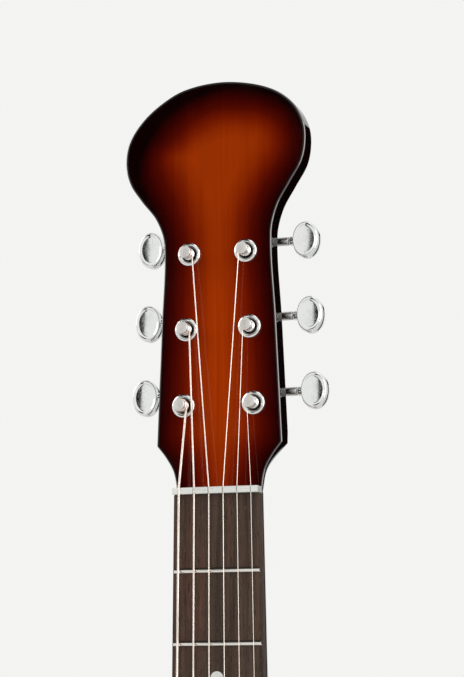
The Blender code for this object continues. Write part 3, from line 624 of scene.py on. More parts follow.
def sunburst_finish(name, grain, warmth=(1, 1, 1)):
    """Gloss lacquer sprayed from near black at the edge to orange-brown, over wood whose grain just shows."""
    finish = Finish(name, IOR=1.5, Specular_IOR_Level=0.30, Coat_IOR=2.2, Coat_Roughness=0.03)
    colour = finish.vector("MULTIPLY", spray(finish), warmth)
    streaks = finish.noise((520, 520, 9), 4, 0.6, distortion=0.4)
    fine = finish.noise((2600, 2600, 40), 2, 0.6)
    figure = finish.fit(streaks, 0.25, 0.75, 1 - grain, 1 + grain)
    figure = figure * finish.fit(fine, 0.2, 0.8, 1 - grain / 2, 1 + grain / 2)
    seam = 1 - finish.fit((finish.axis("X") + 0.0006).math("ABSOLUTE"), 0.0, 0.0006, grain, 0.0)
    smears = finish.noise(38, 3, 0.6, shift=(3, 1, 2))
    peel = finish.noise(420, 1, 0.5)
    dust = finish.fit(finish.cells(900), 0.03, 0.055, 1.0, 0.0) * finish.fit(smears, 0.62, 0.7)
    return finish.done(finish.shaded(colour, figure * seam),
                       finish.fit(smears, 0.35, 0.75, 0.02, 0.05) + dust * 0.2,
                       finish.bump(peel * 0.7 + streaks * 0.3 + dust * 0.4, 0.000012, 0.6),
                       finish.stored("arris"))


def rosewood_finish(name, tone=1.0):
    """Open-grained dark rosewood, oiled and a little dry, in streaks of red-brown, grey-green and plum."""
    finish = Finish(name, IOR=1.5, Specular_IOR_Level=0.25)
    look = settings().finish
    dark, light = Vector(look.wood_dark) * tone, Vector(look.wood_light) * tone
    wander = finish.noise((60, 60, 5), 2, 0.5) * 0.010
    wandering = finish.combined(finish.axis("X") + wander, finish.axis("Y"), finish.axis("Z"))

    def grain(scale, shift, detail):
        place = finish.vector("ADD", finish.vector("MULTIPLY", wandering, scale), shift)
        return finish.node("ShaderNodeTexNoise", {"Vector": place, "Scale": 1.0, "Detail": detail, "Roughness": 0.6})

    bands = grain((330, 330, 6), (0, 0, 0), 5.0)
    tints = grain((150, 150, 7), (5, 0, 3), 3.0)
    streaks = finish.noise((1500, 1500, 45), 4, 0.65)
    pores = finish.fit(finish.noise((2300, 2300, 150), 2, 0.6, shift=(1, 2, 3)), 0.57, 0.67)
    flecks = finish.fit(finish.noise((1300, 1300, 330), 3, 0.6, shift=(7, 2, 1)), 0.58, 0.70)
    share = finish.fit(bands, 0.36, 0.64) * 0.60 + finish.fit(streaks, 0.3, 0.7) * 0.40
    tint = finish.ramp(tints, (0.36, (0.86, 0.84, 1.22)), (0.46, (0.86, 1.02, 0.92)), (0.54, (0.98, 0.98, 0.98)),
                       (0.64, (1.30, 0.98, 0.92)))
    colour = finish.mix(share, dark, light)
    colour = finish.mix(pores * 0.80, colour, dark * 0.30)
    colour = finish.mix(flecks * 0.40, colour, light * 1.7)
    return finish.done(finish.mix(1.0, colour, tint, "MULTIPLY"),
                       finish.fit(streaks, 0.3, 0.7, 0.40, 0.58) + pores * 0.2,
                       finish.bump(streaks * 0.35 + share * 0.15 - pores, 0.00008, 0.7))


def metal_finish(name, colour, rough, haze=0.04, lines=None, line_depth=0.0, tint=(1, 1, 1), wear=0.0, metal=1.0,
                 grime=0.0):
    """Metal with cloudy handling marks, fine scratches and, where lines gives their scale, a brushed grain.

    grime is how much the painted shade stored on the piece's points darkens and roughens it.
    """
    finish = Finish(name, Metallic=metal)
    cloud = finish.fit(finish.noise(150, 4, 0.62), 0.35, 0.75)
    hair = finish.noise((9000, 9000, 260), 2, 0.5, turn=(0.5, 0.3, 0.9))
    cross = finish.noise((260, 9000, 9000), 2, 0.5, turn=(0.9, 0.1, 0.4))
    marks = finish.fit(hair, 0.64, 0.70) + finish.fit(cross, 0.65, 0.71)
    roughness = cloud * haze + rough + marks * (0.04 + wear)
    if lines:
        grain, depth = finish.noise(lines, 2, 0.6), line_depth
        roughness = roughness + finish.fit(grain, 0.35, 0.65, -0.04, 0.05)
    else:
        grain, depth = finish.noise(700, 2, 0.5) * 0.12, 0.000002
    base = finish.mix(cloud, colour, [a * b for a, b in zip(colour, tint)])
    if wear:
        spots = finish.fit(finish.noise(1500, 4, 0.7, shift=(4, 4, 0)), 0.60, 0.75)
        base = finish.mix(spots * wear, base, [c * 0.45 for c in colour])
        roughness = roughness + spots * wear * 0.5
    # Painted shade: the stored share mixes a near-black colour into the metal and makes it rougher.
    if grime:
        shade_share = finish.stored("grime") * grime
        base = finish.mix(shade_share, base, (0.045, 0.042, 0.038))
        roughness = roughness + shade_share * 0.25
    return finish.done(base, roughness, finish.bump(grain + marks * -0.3, depth, 0.8))


def fret_finish(name):
    """Fret wire: its crest is polished by the strings; its flank towards the nut and the foot of its other flank carry
    painted shade and are rougher.
    """
    finish = Finish(name, Metallic=1.0)
    cloud = finish.noise(700, 3, 0.6)
    hair = finish.noise((60, 5200, 5200), 2, 0.6)
    # Painted light: the stored share mixes a near-black painted shade into the lit metal colour.
    bright = finish.fit(finish.stored("polish") + (cloud - 0.5) * 0.3, 0.30, 0.70)
    return finish.done(finish.mix(bright, (0.055, 0.045, 0.038), (0.86, 0.83, 0.77)),
                       finish.fit(bright, 0, 1, 0.45, 0.16) + (hair - 0.5) * 0.1, finish.bump(hair, 0.000006, 0.8))


def wound_finish(name, pitch=0.00030):
    """A string's round winding, with painted shade in the line between its turns."""
    finish = Finish(name, Metallic=1.0)
    ridge = finish.fit((finish.axis("Z") * (math.tau / pitch)).math("SINE"), -1.0, 0.5)
    tarnish = finish.noise((400, 400, 60), 3, 0.6)
    colour = finish.mix(finish.fit(tarnish, 0.4, 0.7), (0.92, 0.81, 0.73), (0.78, 0.66, 0.58))
    # Painted shade: the colour is darkened between the turns.
    return finish.done(finish.shaded(colour, 0.62 + ridge * 0.38), finish.fit(tarnish, 0.3, 0.7, 0.20, 0.34),
                       finish.bump(ridge, 0.00003, 0.7))


def wood_finish(name):
    """Bare pale wood for the parts inside the body."""
    finish = Finish(name, IOR=1.5)
    rings = finish.noise((260, 60, 7), 4, 0.6, distortion=0.6)
    fine = finish.noise((2200, 900, 60), 3, 0.6)
    share = finish.fit(rings, 0.3, 0.7) * 0.7 + fine * 0.3
    return finish.done(finish.mix(share, (0.56, 0.38, 0.20), (0.34, 0.20, 0.095)),
                       finish.fit(fine, 0.3, 0.7, 0.5, 0.72), finish.bump(fine, 0.00010, 0.6))


def plastic_finish(name, colour, second, rough, speckle=0.0):
    """Moulded plastic: a faint cloud of a second colour, handling marks and a slight orange peel."""
    finish = Finish(name, IOR=1.49)
    cloud = finish.noise(45, 3, 0.6)
    marks = finish.fit(finish.noise((6500, 200, 6500), 2, 0.5, turn=(0.2, 0.4, 0.6)), 0.64, 0.71)
    peel = finish.noise(1200, 2, 0.5)
    base = finish.mix(finish.fit(cloud, 0.35, 0.7), colour, second)
    if speckle:
        specks = finish.fit(finish.noise(2600, 2, 0.6, shift=(2, 5, 1)), 0.66, 0.76)
        base = finish.mix(specks * speckle, base, [c * 0.55 for c in colour])
    return finish.done(base, finish.fit(cloud, 0.3, 0.7, rough, rough + 0.10) + marks * 0.12,
                       finish.bump(peel + marks * -0.5, 0.000006, 0.6))


def tape_finish(name):
    """The body edge's vinyl tape, pebbled, and darker in the hollows between its pebbles."""
    finish = Finish(name, IOR=1.5, Specular_IOR_Level=0.35)
    pebbles = finish.cells(1250, "SMOOTH_F1")
    cloud = finish.noise(40, 4, 0.6)
    hollow = finish.fit(pebbles, 0.32, 0.62)
    base = finish.mix(finish.fit(cloud, 0.3, 0.75), (0.74, 0.68, 0.54), (0.66, 0.58, 0.43))
    return finish.done(finish.mix(hollow * 0.55, base, (0.36, 0.30, 0.20)),
                       finish.fit(cloud, 0.3, 0.7, 0.45, 0.6) + hollow * 0.15, finish.bump(1 - pebbles, 0.00022, 0.8))


def pearl_finish(name):
    """The fretboard's pearl dots."""
    finish = Finish(name, IOR=1.55, Coat_Weight=0.4, Coat_Roughness=0.08)
    swirl = finish.noise((330, 330, 180), 3, 0.6, distortion=1.8)
    colour = finish.ramp(swirl, (0.3, (0.62, 0.62, 0.55)), (0.5, (0.80, 0.78, 0.72)), (0.62, (0.66, 0.72, 0.70)),
                         (0.8, (0.86, 0.80, 0.76)))
    return finish.done(colour, finish.fit(swirl, 0.3, 0.7, 0.18, 0.32), finish.bump(swirl, 0.00002, 0.4))


def coil_finish(name, pitch=0.00022):
    """Fine enamelled wire under a turn of tape, for the pickup's coil, with painted shade between its turns."""
    finish = Finish(name, IOR=1.5)
    turns = (finish.axis("Z") * (math.tau / pitch)).math("SINE")
    cloud = finish.noise(300, 2, 0.5)
    # Painted shade: the colour darkens between the wire's turns.
    return finish.done(finish.mix(finish.fit(turns, -1, 1), (0.10, 0.022, 0.008), (0.34, 0.10, 0.035)),
                       finish.fit(cloud, 0.3, 0.7, 0.3, 0.5), finish.bump(turns, 0.00004, 0.6))


def cable_finish(name):
    """The wiring's braided sleeve."""
    finish = Finish(name, IOR=1.5)
    across, along = finish.axis("X") * 5200, finish.axis("Z") * 3800
    weave = finish.fit((across + along).math("SINE") * (across - along).math("SINE"), -0.6, 0.6)
    return finish.done(finish.mix(weave, (0.018, 0.017, 0.016), (0.075, 0.072, 0.066)),
                       finish.fit(weave, 0, 1, 0.5, 0.7), finish.bump(weave, 0.00008, 0.8))


CHROME = {"colour": (0.86, 0.87, 0.85), "tint": (0.97, 0.98, 1.0), "haze": 0.05}
FINISHES = {
    "sunburst_lacquer": (sunburst_finish, {"grain": 0.09}),
    "lacquered_board": (sunburst_finish, {"grain": 0.02, "warmth": (1.0, 1.45, 1.0)}),
    "rosewood": (rosewood_finish, {}),
    "bridge_rosewood": (rosewood_finish, {"tone": 0.75}),
    "chrome": (metal_finish, {**CHROME, "rough": 0.035}),
    # The bushings' chrome carries painted shade in its cup.
    "bushing_chrome": (metal_finish, {**CHROME, "rough": 0.04, "grime": 0.9}),
    "steel": (metal_finish, {"colour": (0.60, 0.59, 0.57), "rough": 0.22, "haze": 0.10, "wear": 0.25}),
    "shaft_steel": (metal_finish, {"colour": (0.50, 0.49, 0.47), "rough": 0.10, "haze": 0.08, "wear": 0.1}),
    "post_steel": (metal_finish, {"colour": (0.80, 0.77, 0.74), "rough": 0.26, "haze": 0.06}),
    "fret_nickel": (fret_finish, {}),
    "aluminium": (metal_finish, {"colour": (0.80, 0.81, 0.77), "rough": 0.27, "haze": 0.08, "wear": 0.12,
                                 "metal": 0.5, "lines": (90, 4200, 4200), "line_depth": 0.000012}),
    "string_steel": (metal_finish, {"colour": (0.90, 0.80, 0.72), "rough": 0.17, "haze": 0.08}),
    "wound_string": (wound_finish, {}),
    "brass": (metal_finish, {"colour": (0.78, 0.57, 0.26), "rough": 0.22, "haze": 0.10, "wear": 0.2}),
    "plain_wood": (wood_finish, {}),
    "trim": (tape_finish, {}),
    "white_plastic": (plastic_finish, {"colour": (0.80, 0.78, 0.71), "second": (0.76, 0.73, 0.63), "rough": 0.16,
                                       "speckle": 0.25}),
    "black_plastic": (plastic_finish, {"colour": (0.020, 0.020, 0.021), "second": (0.028, 0.027, 0.026),
                                       "rough": 0.20}),
    "pointer_paint": (plastic_finish, {"colour": (0.82, 0.81, 0.76), "second": (0.74, 0.72, 0.66), "rough": 0.35,
                                       "speckle": 0.2}),
    "pearl": (pearl_finish, {}),
    "coil": (coil_finish, {}),
    "cable": (cable_finish, {}),
}
# Each finish once it is made, by its name
MADE = {}


def finish_named(name):
    """A finish, made the first time that a piece asks for it."""
    if name not in MADE:
        maker, numbers = FINISHES[name]
        MADE[name] = maker(name, **numbers)
    return MADE[name]


# Places that several pieces share

def board_half(z):
    return (NUT_WIDTH + (END_WIDTH - NUT_WIDTH) * z / FRETBOARD_END) / 2


def crown(x):
    """How far the fretboard's surface falls to the back at a distance from its middle line."""
    return CROWN_RADIUS - math.sqrt(CROWN_RADIUS ** 2 - x ** 2)


def fret_z(number):
    return -SCALE_LENGTH * (1 - 2 ** (-number / 12))


def string_x(index, spread):
    """Neighbouring strings stand equally clear of each other, so the thick ones' middle lines lie further apart."""
    steps = [(thick + thin) / 2 for thick, thin in zip(GAUGES, GAUGES[1:])]
    clear = (spread - sum(steps)) / len(steps)
    return sum(steps[:index]) + clear * index - spread / 2


def post_place(side, row):
    return side * (FIRST_POST[0] + POST_STEP[0] * row), FIRST_POST[1] + POST_STEP[1] * row


POSTS = tuple((number, side, *post_place(side, row)) for number, side, row in TUNERS)


def bridge_top(z):
    return BRIDGE_CREST[1] + BRIDGE_FALL * (z - BRIDGE_CREST[0]) ** 2


def screw_head(radius, height, recess):
    """A domed screw head with a cross in it, standing on the origin."""
    dome = [(0, height)]
    for step in range(1, 7):
        angle = math.radians(15 * step)
        dome.append((radius * math.sin(angle), height * (0.15 + 0.85 * math.cos(angle))))
    head = spun("screw_head", [*dome, (radius * 0.96, 0), (0, 0)], steps=28)
    arm, width = radius * 0.52, radius * 0.17
    return cut(head, *[block("groove", (-u, -v, height - recess), (u, v, height * 2), width * 0.4, 1)
                       for u, v in ((arm, width), (width, arm))])


def screws(name, head, places, way):
    """Copies of a screw head at several places, all facing the same way, each turned by its own amount."""
    copies = []
    for i, spot in enumerate(places):
        copy = linked(f"{name}_{i}", head.data.copy())
        copy.data.transform(Matrix.Translation(spot) @ facing(way) @ Matrix.Rotation(0.7 + 1.9 * i, 4, "Z"))
        copies.append(copy)
    bpy.data.objects.remove(head)
    return joined(name, *copies)


def comb(half_width, front, back, notches):
    """A bar's section in X and Y with open, round-bottomed notches in its front: (x, half width, floor)."""
    points = [(-half_width, back), (-half_width, front(-half_width))]
    for x, half, floor in notches:
        points.append((x - half, front(x - half)))
        for step in range(7):
            angle = math.pi * step / 6
            points.append((x - half * math.cos(angle), floor - half * (1 - math.sin(angle))))
        points.append((x + half, front(x + half)))
    return points + [(half_width, front(half_width)), (half_width, back)]


# Neck

def neck_edges(low, count):
    """The neck's and headstock's right and left edges in X and Z, each with X to its own side, from low to the tip."""
    below = [(board_half(z), float(z)) for z in np.linspace(low, 0, count)]
    edges = []
    for knots, across in ((HEAD_RIGHT, HEAD_LEFT), (HEAD_LEFT, HEAD_RIGHT)):
        curve = smooth_curve(knots, 12, before=(-across[1][0], across[1][1]))
        edges.append(below + (curve + smooth_curve(HEAD_SHOULDER, 8)[1:])[::-1])
    return edges


def neck_outline(right, left):
    return right[::-1] + [(-x, z) for x, z in left[:-1]]


def half_section(reach, z, edge):
    """Half a section, from the front's middle round the edge to the back's middle, as (reach, y) points.

    The back is a bow on the neck, fuller at the heel, and changes to the headstock's flat slab.
    """
    depth = float(np.interp(z, *zip(*NECK_DEPTHS)))
    flat = float(ease(0.006, 0.029, z))
    fillet = 0.0002 + (edge - 0.0002) * float(ease(0, 0.006, z))
    section = [((reach - fillet) * (1 - (1 - i / 16) ** 1.5), NECK_FRONT) for i in range(17)]
    for i in range(1, 7):
        angle = math.pi / 12 * i
        section.append((reach - fillet * (1 - math.sin(angle)), NECK_FRONT + fillet * (1 - math.cos(angle))))
    power = 2 / (2.2 + 4.8 * float(ease(-0.362, -0.378, z)))
    low, round_back = NECK_FRONT + fillet, 0.0020
    wall_end, round_end = 0.22, 0.42    # shares of the way round
    for i in range(1, 37):
        t = i / 36
        angle = t * math.pi / 2
        bow = (reach * max(math.cos(angle), 0) ** power, low + (depth - fillet) * math.sin(angle) ** power)
        if t < wall_end:
            slab = (reach, low + (HEAD_BACK - round_back - low) * t / wall_end)
        elif t < round_end:
            turn = (t - wall_end) / (round_end - wall_end) * math.pi / 2
            slab = (reach - round_back * (1 - math.cos(turn)), HEAD_BACK - round_back * (1 - math.sin(turn)))
        else:
            slab = ((reach - round_back) * (1 - t) / (1 - round_end), HEAD_BACK)
        section.append(tuple(Vector(bow).lerp(Vector(slab), flat)))
    return section


def spray_neck(obj, outline, neck):
    """Stores how deep inside the sprayed edge each point lies: the walls and the neck's back stay dark."""
    points = points_of(obj)
    x, y, z = points.T
    depth = distance_to(outline, points[:, [0, 2]])
    left = neck.left_shade * ease(0.126, 0.176, z) * (1 - 0.55 * ease(0.170, 0.190, z))
    shade = left * ease(-0.008, 0.022, -x) + neck.tip_shade * ease(0.165, 0.190, z)
    front = 1 - ease(NECK_FRONT + 0.0004, NECK_FRONT + 0.0030, y)
    behind = np.minimum(depth * 0.35, 0.006)
    set_value(obj, "spray_depth", np.maximum(depth - shade, 0) * front + behind * (1 - front))
    set_value(obj, "arris", np.abs(y - NECK_FRONT - neck.edge_radius / 2) < neck.edge_radius * 0.49)


class SITAR_OT_neck(bpy.types.Operator):
    """Skins the neck and headstock over sections that change from round to flat"""
    bl_idname = "sitar.neck"
    bl_label = "Neck and headstock"

    def execute(self, context):
        neck = settings().neck
        edges = neck_edges(FRETBOARD_END, 110)
        rings = []
        for ends in zip(*edges):
            middle = (ends[0][1] + ends[1][1]) / 2
            spine = middle - max(0.0, middle - 0.150) * 0.7     # sections fan out towards the tip
            ring = []
            for side, (x, z) in zip((1, -1), ends):
                reach = math.hypot(x, z - spine)
                half = [(side * x * d / reach, y, spine + (z - spine) * d / reach)
                        for d, y in half_section(reach, z, neck.edge_radius)]
                ring += half[::side]
            rings.append(ring)
        obj = lofted("neck_body", rings)
        cut(obj, *[rod(f"post_hole_{number}", BARREL_RADIUS + GAP, (x, -0.010, z), 0.040, BACK, 32)
                   for number, side, x, z in POSTS])
        spray_neck(obj, neck_outline(*edges), neck)
        finished(obj, "sunburst_lacquer", "neck", flat_faces=True)
        return {"FINISHED"}


class SITAR_OT_fretboard(bpy.types.Operator):
    """Lays the crowned fretboard with its pearl dots"""
    bl_idname = "sitar.fretboard"
    bl_label = "Fretboard"

    def section(self, z, shrink):
        half, edge = board_half(z) - shrink, 0.0004
        top = [(half - edge) * (1 - 2 * i / 40) for i in range(41)]
        wall = [(half - edge * (1 - math.sin(a)), crown(half) + shrink + edge * (1 - math.cos(a)))
                for a in map(math.radians, (22, 45, 67, 90))] + [(half, NECK_FRONT - SEAT)]
        return ([(x, crown(x * half / (half - edge)) + shrink, z) for x in top] + [(-x, y, z) for x, y in wall]
                + [(x, y, z) for x, y in reversed(wall)])

    def execute(self, context):
        bevel = 0.0002
        rings = [self.section(0, bevel)]
        for z in (-bevel, *np.linspace(-0.02, -0.44, 22), FRETBOARD_END + 2 * bevel):
            rings.append(self.section(float(z), 0))
        rings.append(self.section(FRETBOARD_END, bevel))
        finished(lofted("fretboard_wood", rings), "rosewood", "fretboard", flat_faces=True)

        radius, dots = settings().neck.dot_radius, []
        profile = [(0, SEAT), (radius - 0.0001, SEAT), (radius, -0.00005), (radius, -0.0006), (0, -0.0006)]
        for number in DOTTED_FRETS:
            z = (fret_z(number) + fret_z(number - 1)) / 2
            for x in (-DOT_SPREAD, DOT_SPREAD) if number == 12 else (0,):
                lean = math.asin(x / CROWN_RADIUS)
                up = (math.sin(lean), -math.cos(lean), 0)
                dots.append(spun(f"dot_{len(dots)}", profile, (x, crown(x), z), up, 32))
        finished(joined("inlay_dots", *dots), "pearl")
        return {"FINISHED"}


class SITAR_OT_frets(bpy.types.Operator):
    """Bends a domed wire over the fretboard for each fret, with its ends filed to a slope"""
    bl_idname = "sitar.frets"
    bl_label = "Frets"

    def execute(self, context):
        dome = [(math.cos(a) * FRET_WIDTH / 2, FRET_HEIGHT * math.sin(a) ** 0.8) for a in np.linspace(0, math.pi, 11)]
        lines = [fret_z(number) for number in range(1, FRET_COUNT + 1)]
        pieces = []
        for number, z in enumerate(lines, 1):
            rings = []
            for share in (-1, *np.linspace(-0.985, 0.985, 21), 1):
                x = (board_half(z) - 0.0002) * share
                slope = 0.7 * np.sign(share) * (abs(share) > 0.98)
                ring = [(x - slope * up, crown(x - slope * up) - up, z + along) for along, up in dome]
                rings.append(ring + [(x, crown(x) + 0.0003, z + end * FRET_WIDTH / 2) for end in (-1, 1)])
            pieces.append(lofted(f"fret_{number}", rings))
        wires = joined("frets", *pieces)
        # Painted shade: the flank towards the nut and the foot of the other flank are stored dark, the rest lit.
        above = points_of(wires)[:, 2:] - np.array(lines)
        above = above[np.arange(len(above)), np.abs(above).argmin(axis=1)] / (FRET_WIDTH / 2)
        set_value(wires, "polish", 1 - ease(-0.10, 0.50, above) - 0.6 * ease(0.75, 1.0, -above))
        finished(wires, "fret_nickel", angle=40)
        return {"FINISHED"}


class SITAR_OT_nut(bpy.types.Operator):
    """Files the strings' slots in the aluminium nut"""
    bl_idname = "sitar.nut"
    bl_label = "Nut"

    def execute(self, context):
        notches = [(string_x(i, NUT_SPREAD), gauge / 2 + 0.00004, -NUT_RISE + 0.00003)
                   for i, gauge in enumerate(GAUGES)]
        outline = comb(NUT_WIDTH / 2, lambda x: crown(x) - 0.0026, NECK_FRONT - SEAT, notches)
        bar = plate("nut_bar", outline, 0.00005, NUT_THICKNESS, settings().neck.nut_edge, axis="Z")
        finished(bar, "aluminium", "nut", flat_faces=True)
        return {"FINISHED"}


# Strings

def string_route(index):
    """A string's middle line, from its post over the nut and the bridge to the tailpiece."""
    number, side, post_x, post_z = POSTS[index]
    radius = GAUGES[index] / 2
    nut_x, bridge_x = string_x(index, NUT_SPREAD), string_x(index, BRIDGE_SPREAD)
    route = [(post_x - side * (WAIST_RADIUS + radius), NECK_FRONT - WINDING_HEIGHT, post_z)]
    route += [(nut_x, -NUT_RISE - radius, z) for z in (NUT_THICKNESS, 0.0001)]
    for i in range(5):
        z = BRIDGE_CREST[0] + (BRIDGE_Z[0] - BRIDGE_CREST[0]) * i / 4
        route.append((bridge_x, bridge_top(z) - GAP - radius, z))
    return route + [(bridge_x, TAIL_STRING_Y, z) for z in (TAILPIECE_Z[1], TAILPIECE_Z[0] - 0.001)]


class SITAR_OT_strings(bpy.types.Operator):
    """Stretches the strings, winds their ends on the posts and hangs their ball ends"""
    bl_idname = "sitar.strings"
    bl_label = "Strings"

    def winding(self, index):
        """One turn at the string's height, then more that climb the post."""
        number, side, post_x, post_z = POSTS[index]
        gauge = GAUGES[index]
        reach = (WAIST_RADIUS + gauge / 2) * side
        turns = min(6.0, 0.0019 / gauge)
        route = []
        for step in range(int((turns + 1) * 32) + 1):
            turn = step / 32
            rise = WINDING_HEIGHT + max(0.0, turn - 1) * gauge * 1.03
            route.append((post_x - reach * math.cos(math.tau * turn), NECK_FRONT - rise,
                          post_z - abs(reach) * math.sin(math.tau * turn)))
        return tube(f"winding_{number}", route, gauge / 2 * 0.97, 8)

    def execute(self, context):
        for i, (number, side, row) in enumerate(TUNERS):
            finish = "wound_string" if i < WOUND_STRINGS else "string_steel"
            string = tube(f"string_{number}_wire", string_route(i), GAUGES[i] / 2, 12)
            finished(string, finish, f"string_{number}", angle=60)
            finished(self.winding(i), "string_steel", body=f"tuner_{number}_spindle", angle=60)
        barrel = [(0.0006, -0.0016), (0.0015, -0.0016, 0.0003), (0.0019, -0.0010, 0.0004), (0.0013, 0, 0.0008),
                  (0.0019, 0.0010, 0.0004), (0.0015, 0.0016, 0.0003), (0.0006, 0.0016)]
        balls = [spun(f"ball_{i}", barrel, (string_x(i, BRIDGE_SPREAD), TAIL_STRING_Y, TAILPIECE_Z[0] - 0.0021),
                      RIGHT, 20) for i in range(len(GAUGES))]
        finished(joined("ball_ends", *balls), "brass")
        return {"FINISHED"}


# Tuners

def gear_ring(x, z, y, twist, shrink):
    root, tip = GEAR_RADIUS - TOOTH_DEPTH - 0.0003 - shrink, GEAR_RADIUS + TOOTH_DEPTH - 0.0001 - shrink
    ring = []
    for tooth in range(GEAR_TEETH):
        for offset, reach in ((-0.29, root), (-0.11, tip), (0.11, tip), (0.29, root)):
            angle = (tooth + offset) * math.tau / GEAR_TEETH + twist
            ring.append((x + reach * math.sin(angle), y, z + reach * math.cos(angle)))
    return ring


class SITAR_OT_posts(bpy.types.Operator):
    """Turns the string posts with their gears, and the bushings round them"""
    bl_idname = "sitar.posts"
    bl_label = "Posts and bushings"

    def execute(self, context):
        rim, bore, top, foot = BUSHING_RADIUS, POST_RADIUS + GAP, POST_HEIGHT, -0.00028
        collar = [(bore, BARREL_END), (bore, settings().tuners.cup_depth, 0.0003), (rim - 0.0013, 0.00125, 0.0002),
                  (rim - 0.0008, 0.0013, 0.0003), (rim - 0.0001, 0.0010, 0.0006), (rim, foot, 0.0001),
                  (BARREL_RADIUS, foot, 0.0001), (BARREL_RADIUS, BARREL_END)]
        end = NECK_FRONT - SHAFT_Y - GEAR_HALF_WIDTH - 0.0012
        stem = [(0, top), (POST_RADIUS, top, 0.0003), (POST_RADIUS, top - 0.0016, 0.0002),
                (WAIST_RADIUS, top - 0.0023, 0.0003), (WAIST_RADIUS, 0.0026, 0.0004), (POST_RADIUS, 0.0018, 0.0002),
                (POST_RADIUS, end), (0, end)]
        lean = GEAR_HALF_WIDTH * WORM_LEAD / (math.tau * WORM_RADIUS) / GEAR_RADIUS
        for number, side, x, z in POSTS:
            spindle = f"tuner_{number}_spindle"
            bushing = spun(f"bushing_{number}", collar, (x, NECK_FRONT - GAP, z), FRONT, 48)
            # Painted shade: the bushing's cup is darkened towards the post, where its hollow lies in shade.
            reach = np.hypot(*(points_of(bushing)[:, [0, 2]] - (x, z)).T)
            set_value(bushing, "grime", 1 - ease(bore + 0.0005, rim - 0.0011, reach))
            finished(bushing, "bushing_chrome", f"tuner_{number}_bushing", angle=38)
            post = spun(f"post_{number}", stem, (x, NECK_FRONT, z), FRONT)
            finished(post, "post_steel", f"tuner_{number}_post", spindle, angle=38)
            rings = [gear_ring(x, z, SHAFT_Y + GEAR_HALF_WIDTH * share, lean * share, 0.0001 * (abs(share) == 1))
                     for share in (-1, -0.9, 0.9, 1)]
            finished(lofted(f"gear_{number}", rings), "brass", body=spindle, angle=25)
        return {"FINISHED"}


class SITAR_OT_shafts(bpy.types.Operator):
    """Turns the worm shafts and winds a thread on each"""
    bl_idname = "sitar.shafts"
    bl_label = "Worm shafts"

    def execute(self, context):
        core = WORM_RADIUS - TOOTH_DEPTH - 0.0002
        wall = COVER_HALF_WIDTH - COVER_WALL
        collar_end = BUTTON_REACH - settings().tuners.button_width / 2 - 0.0022
        stem_end = collar_end + 0.0052
        profile = [(0, stem_end), (STEM_RADIUS, stem_end, 0.0002), (STEM_RADIUS, collar_end),
                   (COLLAR_RADIUS, collar_end, 0.0004), (COLLAR_RADIUS, wall - 0.0006, 0.0003),
                   (core, wall - 0.0006), (core, -wall + GAP, 0.0002), (0, -wall + GAP)]
        for number, side, x, z in POSTS:
            middle = z + WORM_OFFSET
            shaft = spun(f"shaft_{number}", profile, (x, SHAFT_Y, middle), (side, 0, 0), 36)
            route = []
            for step in range(WORM_TURNS * 24 + 1):
                turn = step / 24 - WORM_TURNS / 2
                angle = math.tau * turn
                route.append((x + WORM_LEAD * turn, SHAFT_Y + WORM_RADIUS * math.cos(angle),
                              middle + WORM_RADIUS * math.sin(angle)))
            shaft = joined(f"worm_shaft_{number}", shaft, tube(f"thread_{number}", route, THREAD_RADIUS, 6))
            finished(shaft, "shaft_steel", f"tuner_{number}_worm_shaft", f"tuner_{number}_knob", angle=35)
        return {"FINISHED"}


class SITAR_OT_buttons(bpy.types.Operator):
    """Presses the oval tuner buttons with a dish inside their raised rim"""
    bl_idname = "sitar.buttons"
    bl_label = "Tuner buttons"

    def execute(self, context):
        tuners = settings().tuners
        edge, half, dish = tuners.button_width / 2, tuners.button_thickness / 2, tuners.dish_depth
        front = [(0, half - dish), (edge * 0.72, half - dish, 0.0030), (edge - 0.0013, half - 0.0001, 0.0009),
                 (edge - 0.0006, half, 0.0004), (edge, half - 0.0010, 0.0007),
                 (edge - 0.0002, half * 0.35, 0.0002), (edge, half * 0.25, 0.0001)]
        profile = front + [(radius, -height, *rest) for radius, height, *rest in reversed(front)]
        bore = STEM_RADIUS + 0.0001
        collar = [(bore, 0), (0.0022, 0, 0.0003), (0.0024, 0.0004, 0.0002), (0.0024, 0.0035), (bore, 0.0035)]
        oval = Matrix.Diagonal((1, tuners.button_length / tuners.button_width, 1, 1))
        for number, side, x, z in POSTS:
            place = Vector((x + side * BUTTON_REACH, SHAFT_Y, z + WORM_OFFSET))
            button = spun(f"disc_{number}", profile, steps=56)
            button.data.transform(Matrix.Translation(place) @ Matrix.Rotation(math.pi / 2, 4, "X") @ oval)
            start = place - Vector((side * (edge + 0.0016), 0, 0))
            neck = spun(f"button_neck_{number}", collar, start, (side, 0, 0), 32)
            button = joined(f"button_{number}", button, neck)
            finished(button, "chrome", f"tuner_{number}_button", f"tuner_{number}_knob", angle=40)
        return {"FINISHED"}


